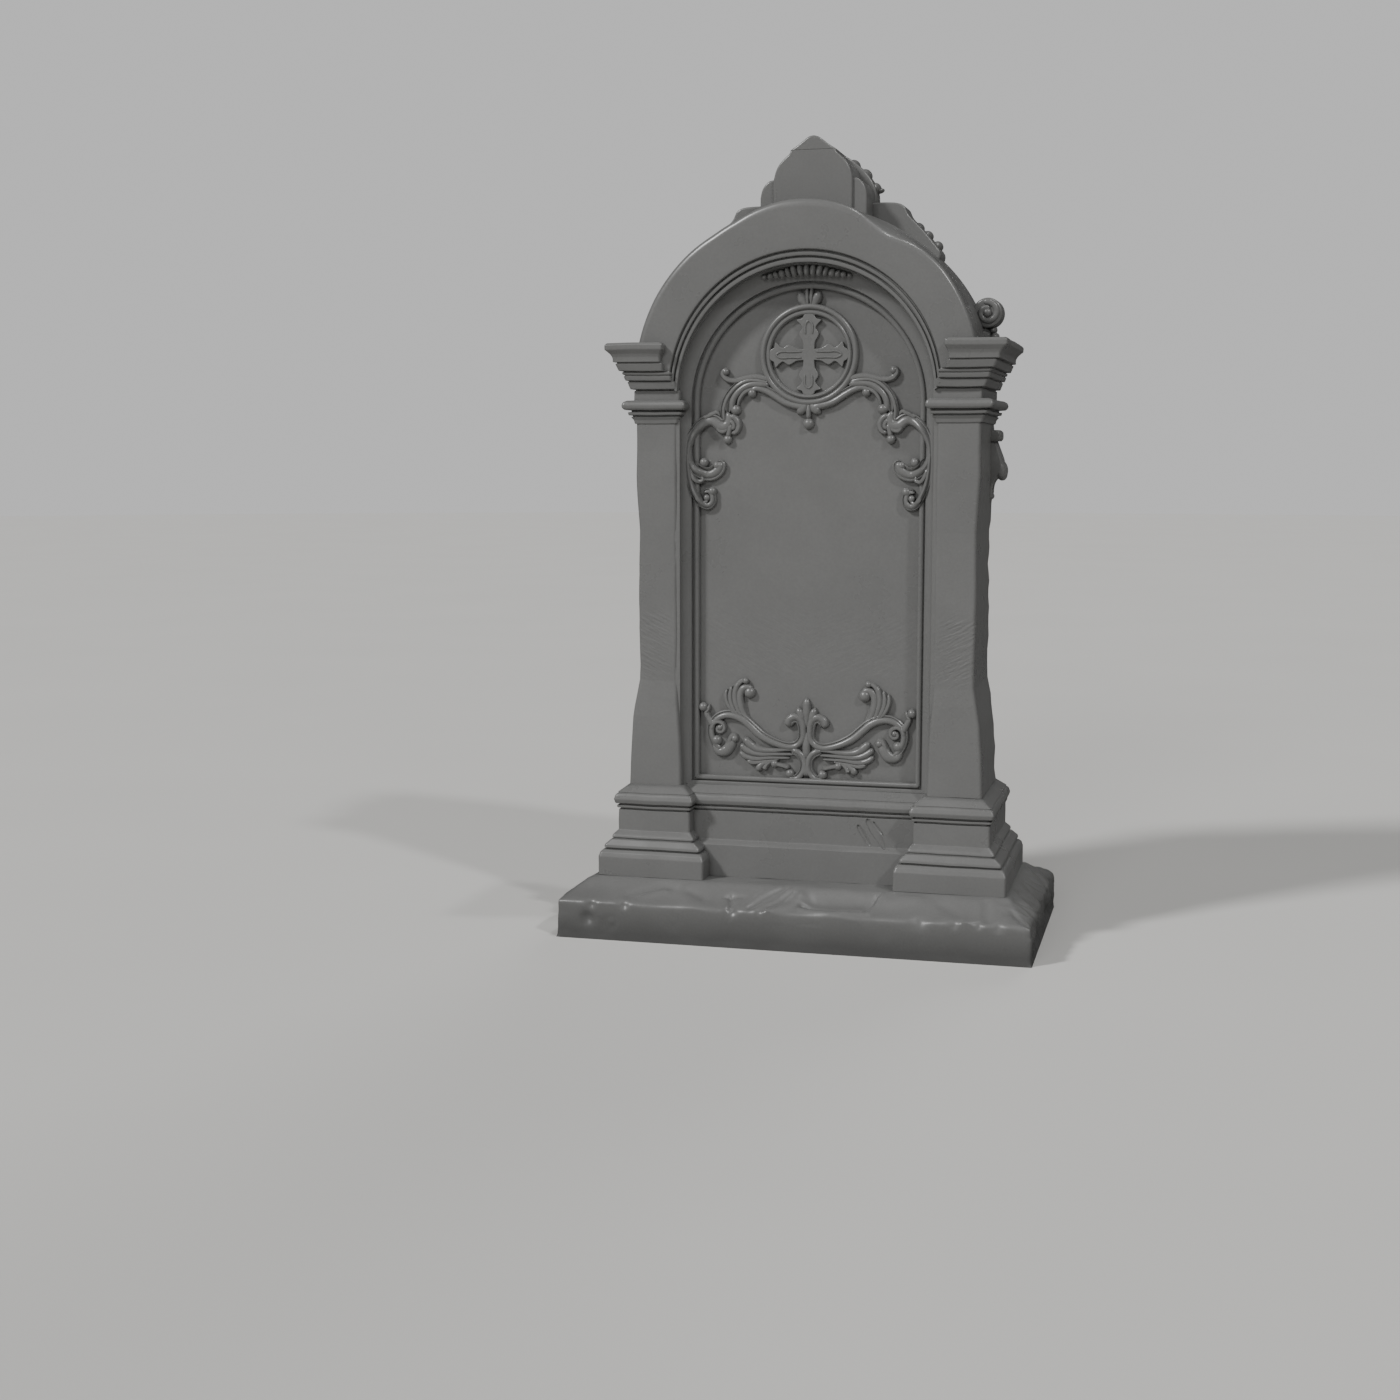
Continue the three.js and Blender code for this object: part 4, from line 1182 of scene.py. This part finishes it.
def add_stone(mesh, node, material):
    """Sets a finished stone on the frame in place of its node."""
    stone = bpy.data.objects.new(mesh.name, mesh)
    bpy.context.scene.collection.objects.link(stone)
    mesh.materials.clear()
    mesh.materials.append(material)
    mesh.shade_smooth()
    mesh.set_sharp_from_angle(angle=SHARP_ANGLE)
    normals = stone.modifiers.new("Weighted normals", "WEIGHTED_NORMAL")
    normals.keep_sharp = True
    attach(stone, BODY)
    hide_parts(node)


def add_node(tree, kind, inputs=None, **settings):
    """A node with its settings, and its inputs set or linked."""
    node = tree.nodes.new(kind)
    for name, value in settings.items():
        setattr(node, name, value)
    for name, value in (inputs or {}).items():
        if isinstance(value, bpy.types.NodeSocket):
            tree.links.new(value, node.inputs[name])
        else:
            node.inputs[name].default_value = value
    return node


def new_material(name):
    """An empty node material and its shader."""
    material = bpy.data.materials.new(name)
    material.use_nodes = True
    tree = material.node_tree
    tree.nodes.clear()
    shader = add_node(tree, "ShaderNodeBsdfPrincipled")
    add_node(tree, "ShaderNodeOutputMaterial", {"Surface": shader.outputs["BSDF"]})
    return material, tree, shader


def chisel_marks(tree, place, depth, normal):
    """Short tool marks that rise outwards, faint but for a band across the piers."""
    axes = add_node(tree, "ShaderNodeSeparateXYZ", {"Vector": place}).outputs
    outwards = add_node(tree, "ShaderNodeMath", {0: axes["X"]}, operation="ABSOLUTE").outputs["Value"]
    mirrored = add_node(tree, "ShaderNodeCombineXYZ", {"X": outwards, "Y": axes["Y"], "Z": axes["Z"]})
    slanted = add_node(
        tree, "ShaderNodeMapping",
        {
            "Vector": mirrored.outputs["Vector"], "Rotation": (0, MARK_SLANT, 0),
            "Scale": [size * MM for size in MARK_SIZES],
        },
        vector_type="TEXTURE")
    marks = add_node(
        tree, "ShaderNodeTexNoise", {"Vector": slanted.outputs["Vector"], "Scale": 1, "Detail": 2})
    off = add_node(tree, "ShaderNodeMath", {0: axes["Z"], 1: MARK_BAND}, operation="SUBTRACT")
    away = add_node(tree, "ShaderNodeMath", {0: off.outputs["Value"]}, operation="ABSOLUTE")
    in_band = add_node(
        tree, "ShaderNodeMapRange",
        {
            "Value": away.outputs["Value"], "From Min": MARK_FADE[0], "From Max": MARK_FADE[1],
            "To Min": 1, "To Max": MARK_LEFT,
        })
    on_pier = add_node(
        tree, "ShaderNodeMapRange",
        {"Value": outwards, "From Min": MARK_PIERS[0], "From Max": MARK_PIERS[1], "To Min": MARK_TABLET})
    share = add_node(
        tree, "ShaderNodeMath", {0: in_band.outputs["Result"], 1: on_pier.outputs["Result"]},
        operation="MULTIPLY")
    bump = add_node(
        tree, "ShaderNodeBump",
        {
            "Height": marks.outputs["Fac"], "Strength": share.outputs["Value"], "Distance": depth * MM,
            "Normal": normal,
        })
    return bump.outputs["Normal"]


def stone_material(name, colours, smooth, rough, grit_depth, mark_depth=0):
    """Grey limestone: cloudy beds, fine grit, painted shade in the hollows, a foot painted darker as shade,
    and any chisel marks.
    """
    material, tree, shader = new_material(name)
    place = add_node(tree, "ShaderNodeTexCoord").outputs["Object"]
    beds = add_node(
        tree, "ShaderNodeTexNoise",
        {"Vector": place, "Scale": per_metre(BED_SIZE), "Detail": 5, "Roughness": 0.6}).outputs["Fac"]
    # The grit is drawn coarser than real grains, so that it shows in the render.
    grit = add_node(
        tree, "ShaderNodeTexNoise",
        {"Vector": place, "Scale": per_metre(GRIT_SIZE), "Detail": 3, "Roughness": 0.7}).outputs["Fac"]
    pale_share = add_node(
        tree, "ShaderNodeMapRange", {"Value": beds, "From Min": BED_RANGE[0], "From Max": BED_RANGE[1]})
    stone = add_node(
        tree, "ShaderNodeMix",
        {"Factor": pale_share.outputs["Result"], "A": (*colours.deep, 1), "B": (*colours.pale, 1)},
        data_type="RGBA")
    grain = add_node(
        tree, "ShaderNodeMapRange",
        {
            "Value": grit, "From Min": GRIT_RANGE[0], "From Max": GRIT_RANGE[1],
            "To Min": GRIT_SHADES[0], "To Max": GRIT_SHADES[1],
        })
    # Painted shade: the foot is painted darker towards the ground.
    height = add_node(tree, "ShaderNodeSeparateXYZ", {"Vector": place}).outputs["Z"]
    foot_shade = add_node(
        tree, "ShaderNodeMapRange",
        {"Value": height, "From Min": FOOT_SHADE_HEIGHTS[0], "From Max": FOOT_SHADE_HEIGHTS[1], "To Min": FOOT_SHADE})
    shade = add_node(
        tree, "ShaderNodeMath", {0: grain.outputs["Result"], 1: foot_shade.outputs["Result"]}, operation="MULTIPLY")
    grained = add_node(
        tree, "ShaderNodeVectorMath", {0: stone.outputs["Result"], "Scale": shade.outputs["Value"]},
        operation="SCALE")
    # Painted shade: the colour turns towards a darker one where ambient occlusion finds the surface
    # sheltered, in creases and hollows.
    openness = add_node(tree, "ShaderNodeAmbientOcclusion", {"Distance": HOLLOW_REACH}, samples=8)
    unshaded = add_node(
        tree, "ShaderNodeMapRange", {"Value": openness.outputs["AO"], "From Max": UNSHADED_OPENNESS})
    colour = add_node(
        tree, "ShaderNodeMix",
        {"Factor": unshaded.outputs["Result"], "A": (*colours.painted_hollow_shade, 1), "B": grained.outputs["Vector"]},
        data_type="RGBA")
    tree.links.new(colour.outputs["Result"], shader.inputs["Base Color"])
    gloss = add_node(
        tree, "ShaderNodeMapRange",
        {
            "Value": beds, "From Min": BED_RANGE[0], "From Max": BED_RANGE[1],
            "To Min": smooth, "To Max": rough,
        })
    tree.links.new(gloss.outputs["Result"], shader.inputs["Roughness"])
    bump = add_node(
        tree, "ShaderNodeBump", {"Height": grit, "Strength": GRIT_STRENGTH, "Distance": grit_depth * MM})
    normal = bump.outputs["Normal"]
    if mark_depth:
        normal = chisel_marks(tree, place, mark_depth, normal)
    tree.links.new(normal, shader.inputs["Normal"])
    shader.inputs["IOR"].default_value = STONE_IOR
    return material


class HEADSTONE_OT_base_slab(bpy.types.Operator):
    """Builds the rough-hewn ground slab."""

    bl_idname = "headstone.base_slab"
    bl_label = "Ground slab"

    def execute(self, context):
        sizes = context.scene.headstone_slab
        bm = bmesh.new()
        bmesh.ops.create_cube(bm, size=1)
        middle = (SLAB_LOW + SLAB_HIGH) / 2
        span = SLAB_HIGH - SLAB_LOW
        fit = Matrix.Translation(middle) @ Matrix.Diagonal((*span, 1))
        bmesh.ops.transform(bm, matrix=fit, verts=bm.verts)
        for axis, cuts in enumerate(SLAB_CUTS):
            edges = [edge for edge in bm.edges if abs((edge.verts[1].co - edge.verts[0].co)[axis]) > MM]
            bmesh.ops.subdivide_edges(bm, edges=edges, cuts=cuts, use_grid_fill=True)
        hew_slab(bm, sizes)
        bed = [face for face in bm.faces if all(corner.co.z < MM for corner in face.verts)]
        bmesh.ops.dissolve_faces(bm, faces=bed)
        mesh = unite("base_slab_rough_hewn", [bm])
        # Limestone hewn with a point and worn by rain: dull, with a coarse grain and glints on its edges.
        material = stone_material(
            "Grey limestone, rough hewn", context.scene.headstone_colours, smooth=0.34, rough=0.44,
            grit_depth=0.4)
        add_stone(mesh, "base_slab", material)
        return {"FINISHED"}


def away_from_path(place, path):
    """Distance in plan from a place to a path of points."""
    flat = place.to_2d()
    best = math.inf
    for start, end in zip(path, path[1:]):
        start = Vector(start)
        end = Vector(end)
        _, share = geometry.intersect_point_line(flat, start, end)
        nearest = start.lerp(end, min(1, max(0, share)))
        best = min(best, (flat - nearest).length)
    return best


def off_beds(place):
    """0 where a stone rests on the slab, rising to 1 a little way off."""
    clear = math.inf
    for inner, outer, depth in (PEDESTAL_BED, COURSE_BED):
        sideways = max(inner - abs(place.x), abs(place.x) - outer, 0)
        clear = min(clear, math.hypot(sideways, max(abs(place.y) - depth, 0)))
    return ease(0, BED_MARGIN, clear)


def hew_slab(bm, sizes):
    """Slopes the top up to the seat, then breaks and wears the faces."""
    edge = sizes.edge_height / MM
    seat = SLAB_HIGH.z
    for corner in bm.verts:
        x, y, z = corner.co
        inward = min((SLAB_HIGH.x - abs(x)) / SLOPE_SIDEWAYS, (SLAB_HIGH.y - abs(y)) / SLOPE_FORWARDS)
        top = edge + (seat - edge) * min(1, inward)
        corner.co.z = z / seat * top
    rims = [corner for corner in bm.verts if corner.co.z > MM and off_beds(corner.co) > 0]
    for _ in range(SLAB_SMOOTHING):
        bmesh.ops.smooth_vert(
            bm, verts=rims, factor=0.5, use_axis_x=True, use_axis_y=True, use_axis_z=True)
    bmesh.ops.recalc_face_normals(bm, faces=bm.faces)
    bm.normal_update()
    moves = [(corner, hewn(corner, sizes)) for corner in bm.verts if corner.co.z > MM]
    for corner, move in moves:
        corner.co += corner.normal * move
        corner.co.x = min(SLAB_HIGH.x, max(SLAB_LOW.x, corner.co.x))
        corner.co.y = min(SLAB_HIGH.y, max(SLAB_LOW.y, corner.co.y))


def hewn(corner, sizes):
    """How far a point of the slab moves along its normal."""
    place = corner.co
    end = ease(*END_ROCK, abs(place.x)) * ease(*FRONT_ROCK, place.y) * (1 if place.x > 0 else LEFT_SHARE)
    end *= 1 + (SLOPE_SHARE - 1) * ease(*SLOPE_HEIGHTS, place.z)
    rear = REAR_SHARE * ease(*REAR_ROCK, place.y)
    ridges = Vector(along / size for along, size in zip(place, FACET_SIZES))
    facets = abs(noise.noise(ridges)) + FINE_FACETS * abs(noise.noise(ridges * FINE_FACET_SCALE))
    slant = Vector((place.x + WANDER_LEAN * place.z, place.y, WANDER_STRETCH * place.z))
    broad, fine = WANDER_SIZES
    wander = noise.noise(slant / broad) + FINE_WANDER * noise.noise(place / fine)
    move = sizes.unevenness / MM * wander - sizes.roughness / MM * max(end, rear) * facets
    for dent_x, dent_y, dent_z, radius, depth in SLAB_DENTS:
        away = (place - Vector((dent_x, dent_y, dent_z))).length
        move -= depth * math.exp(-(away / radius) ** 2)
    if place.z > FOLD_FLOOR:
        for half_width, height, path in SLAB_FOLDS:
            move += height * math.exp(-(away_from_path(place, path) / half_width) ** 2)
    return move * off_beds(place) * ease(0, FOOT_MARGIN, place.z)


class HEADSTONE_OT_plinth(bpy.types.Operator):
    """Builds the moulded plinth course."""

    bl_idname = "headstone.plinth"
    bl_label = "Plinth"

    def execute(self, context):
        sizes = context.scene.headstone_stone
        softness = sizes.softness / MM
        length = COURSE_HALF_LENGTH
        course = [(height, -length, length, face) for height, face in COURSE_PROFILE]
        shells = [stack(rounded(course, softness), COURSE_ARRIS)]
        for side in (1, -1):
            rows = [
                (height, DIE_INNER - sideways, DIE_OUTER + sideways, DIE_FRONT + forwards)
                for height, sideways, forwards in PEDESTAL_PROFILE
            ]
            shells.append(stack(rounded(side_rows(rows, side), softness), sizes.arris / MM))
        for bm in shells:
            cut_long_edges(bm, LONGEST_EDGE)
            weather(bm, sizes.wear / MM, PLINTH_WAVES)
        root = GOUGE_DEPTH - SINK - COURSE_FACE
        cuts = [
            strand(knots, half_width, GROOVE, TIP, GROOVE_RISE, root, climbs=False)
            for half_width, knots in GOUGES
        ]
        mesh = unite("plinth_moulded_course", shells, cuts)
        # Limestone rubbed with grit and water: an even face with a soft sheen along its mouldings.
        material = stone_material(
            "Grey limestone, rubbed plinth", context.scene.headstone_colours, smooth=0.26, rough=0.34,
            grit_depth=0.1)
        add_stone(mesh, "plinth", material)
        return {"FINISHED"}


class HEADSTONE_OT_headstone(bpy.types.Operator):
    """Builds the carved headstone."""

    bl_idname = "headstone.headstone"
    bl_label = "Headstone"

    def execute(self, context):
        sizes = context.scene.headstone_stone
        _, centre = ARCH_CENTRES[-1]
        outline = arch_outline(CORE_HALF_WIDTH, centre, STONE_LOW.z)
        body = plate(outline, TABLET_FACE, CORE_BACK, CORE_ARRIS)
        shells = [body, *arch_mouldings()]
        shells += scrollwork(sizes.relief / MM)
        shells += [medallion(), *cross(), *spray(), *crest(), *volutes(), *brackets(sizes)]
        for side in (1, -1):
            shells += pier(side, sizes)
        panel = arch_outline(BACK_PANEL["half_width"], BACK_PANEL["centre"], BACK_PANEL["foot"])
        depth = BACK_PANEL["depth"]
        sunk = plate(panel, CORE_BACK - depth, CORE_BACK + depth, BACK_PANEL["arris"])
        groove = bar(HOOD_GROOVE, -HOOD_HALF_LENGTH, HOOD_HALF_LENGTH)
        mesh = unite("headstone_carved", shells, [sunk, groove])
        # Limestone carved and then rubbed: a soft sheen, with a patch of chisel marks left on each pier.
        material = stone_material(
            "Grey limestone, carved and rubbed", context.scene.headstone_colours, smooth=0.26, rough=0.34,
            grit_depth=0.1, mark_depth=2)
        add_stone(mesh, "headstone", material)
        return {"FINISHED"}


class HEADSTONE_OT_stage(bpy.types.Operator):
    """Sets the floor, lights and camera."""

    bl_idname = "headstone.stage"
    bl_label = "Stage"

    def execute(self, context):
        settings = context.scene.headstone_stage
        add_floor(settings)
        add_light("Left light", *LEFT_LIGHT, settings.left_strength)
        add_light("Right light", *RIGHT_LIGHT, settings.right_strength)
        add_light("Top light", *TOP_LIGHT, settings.top_strength)
        front = add_light("Front fill", *FRONT_FILL, settings.front_strength)
        back = add_light("Back fill", *BACK_FILL, settings.back_strength)
        # The fills stand for large white screens, so they leave no glint of their own.
        front.visible_glossy = False
        back.visible_glossy = False
        add_world(settings)
        data = bpy.data.cameras.new("Camera")
        data.lens = settings.lens
        data.sensor_width = SENSOR
        camera = bpy.data.objects.new("Camera", data)
        camera.location = CAMERA_PLACE
        camera.rotation_euler = [math.radians(turn) for turn in CAMERA_TURN]
        context.scene.collection.objects.link(camera)
        context.scene.camera = camera
        return {"FINISHED"}


def add_floor(settings):
    """A wide pale floor."""
    bm = bmesh.new()
    bmesh.ops.create_circle(bm, cap_ends=True, segments=96, radius=FLOOR_RADIUS)
    mesh = bpy.data.meshes.new("floor")
    bm.to_mesh(mesh)
    bm.free()
    # Pale matt plaster: an even, dull surface with faint clouding.
    material, tree, shader = new_material("Pale plaster floor")
    place = add_node(tree, "ShaderNodeTexCoord").outputs["Object"]
    clouds = add_node(tree, "ShaderNodeTexNoise", {"Vector": place, "Scale": per_metre(FLOOR_CLOUDS)})
    shade = add_node(
        tree, "ShaderNodeMapRange",
        {"Value": clouds.outputs["Fac"], "To Min": FLOOR_SHADES[0], "To Max": FLOOR_SHADES[1]})
    colour = add_node(
        tree, "ShaderNodeVectorMath", {0: settings.floor, "Scale": shade.outputs["Result"]},
        operation="SCALE")
    tree.links.new(colour.outputs["Vector"], shader.inputs["Base Color"])
    shader.inputs["Roughness"].default_value = FLOOR_ROUGHNESS
    mesh.materials.append(material)
    floor = bpy.data.objects.new("floor", mesh)
    bpy.context.scene.collection.objects.link(floor)
    # The floor stays out of the stone's reflections, where it would glare on the sides at a glancing angle.
    floor.visible_glossy = False


def add_light(name, place, angle, strength):
    """A distant soft light that shines on the stone from the side of a place."""
    data = bpy.data.lights.new(name, "SUN")
    data.angle = math.radians(angle)
    data.energy = strength
    light = bpy.data.objects.new(name, data)
    light.location = place
    aim = LIGHT_AIM - Vector(place)
    light.rotation_euler = aim.to_track_quat("-Z", "Y").to_euler()
    bpy.context.scene.collection.objects.link(light)
    return light


def add_world(settings):
    """Even light from all around, behind a pale backdrop."""
    world = bpy.data.worlds.new("Studio")
    world.use_nodes = True
    tree = world.node_tree
    tree.nodes.clear()
    dim = add_node(tree, "ShaderNodeBackground", {"Color": (1, 1, 1, 1), "Strength": settings.ambient})
    pale = add_node(tree, "ShaderNodeBackground", {"Color": (1, 1, 1, 1), "Strength": BACKDROP})
    seen = add_node(tree, "ShaderNodeLightPath").outputs["Is Camera Ray"]
    mix = add_node(
        tree, "ShaderNodeMixShader",
        {"Fac": seen, 1: dim.outputs["Background"], 2: pale.outputs["Background"]})
    add_node(tree, "ShaderNodeOutputWorld", {"Surface": mix.outputs["Shader"]})
    bpy.context.scene.world = world


class HEADSTONE_PT_panel(bpy.types.Panel):
    """Lists the stones and the stage."""

    bl_label = "Headstone"
    bl_idname = "HEADSTONE_PT_panel"
    bl_space_type = "VIEW_3D"
    bl_region_type = "UI"
    bl_category = "Headstone"

    def draw(self, context):
        for operator in OPERATORS:
            self.layout.operator(operator.bl_idname)


GROUPS = {
    "headstone_slab": SlabSizes,
    "headstone_stone": StoneSizes,
    "headstone_colours": StoneColours,
    "headstone_stage": StageSettings,
}
OPERATORS = (HEADSTONE_OT_base_slab, HEADSTONE_OT_plinth, HEADSTONE_OT_headstone, HEADSTONE_OT_stage)
CLASSES = (*GROUPS.values(), *OPERATORS, HEADSTONE_PT_panel)


def register():
    for kind in CLASSES:
        bpy.utils.register_class(kind)
    for name, group in GROUPS.items():
        setattr(bpy.types.Scene, name, PointerProperty(type=group))


def unregister():
    for name in GROUPS:
        delattr(bpy.types.Scene, name)
    for kind in reversed(CLASSES):
        bpy.utils.unregister_class(kind)


def main():
    register()
    bpy.ops.headstone.stage()
    bpy.ops.headstone.base_slab()
    bpy.ops.headstone.plinth()
    bpy.ops.headstone.headstone()


if __name__ == "__main__":
    main()
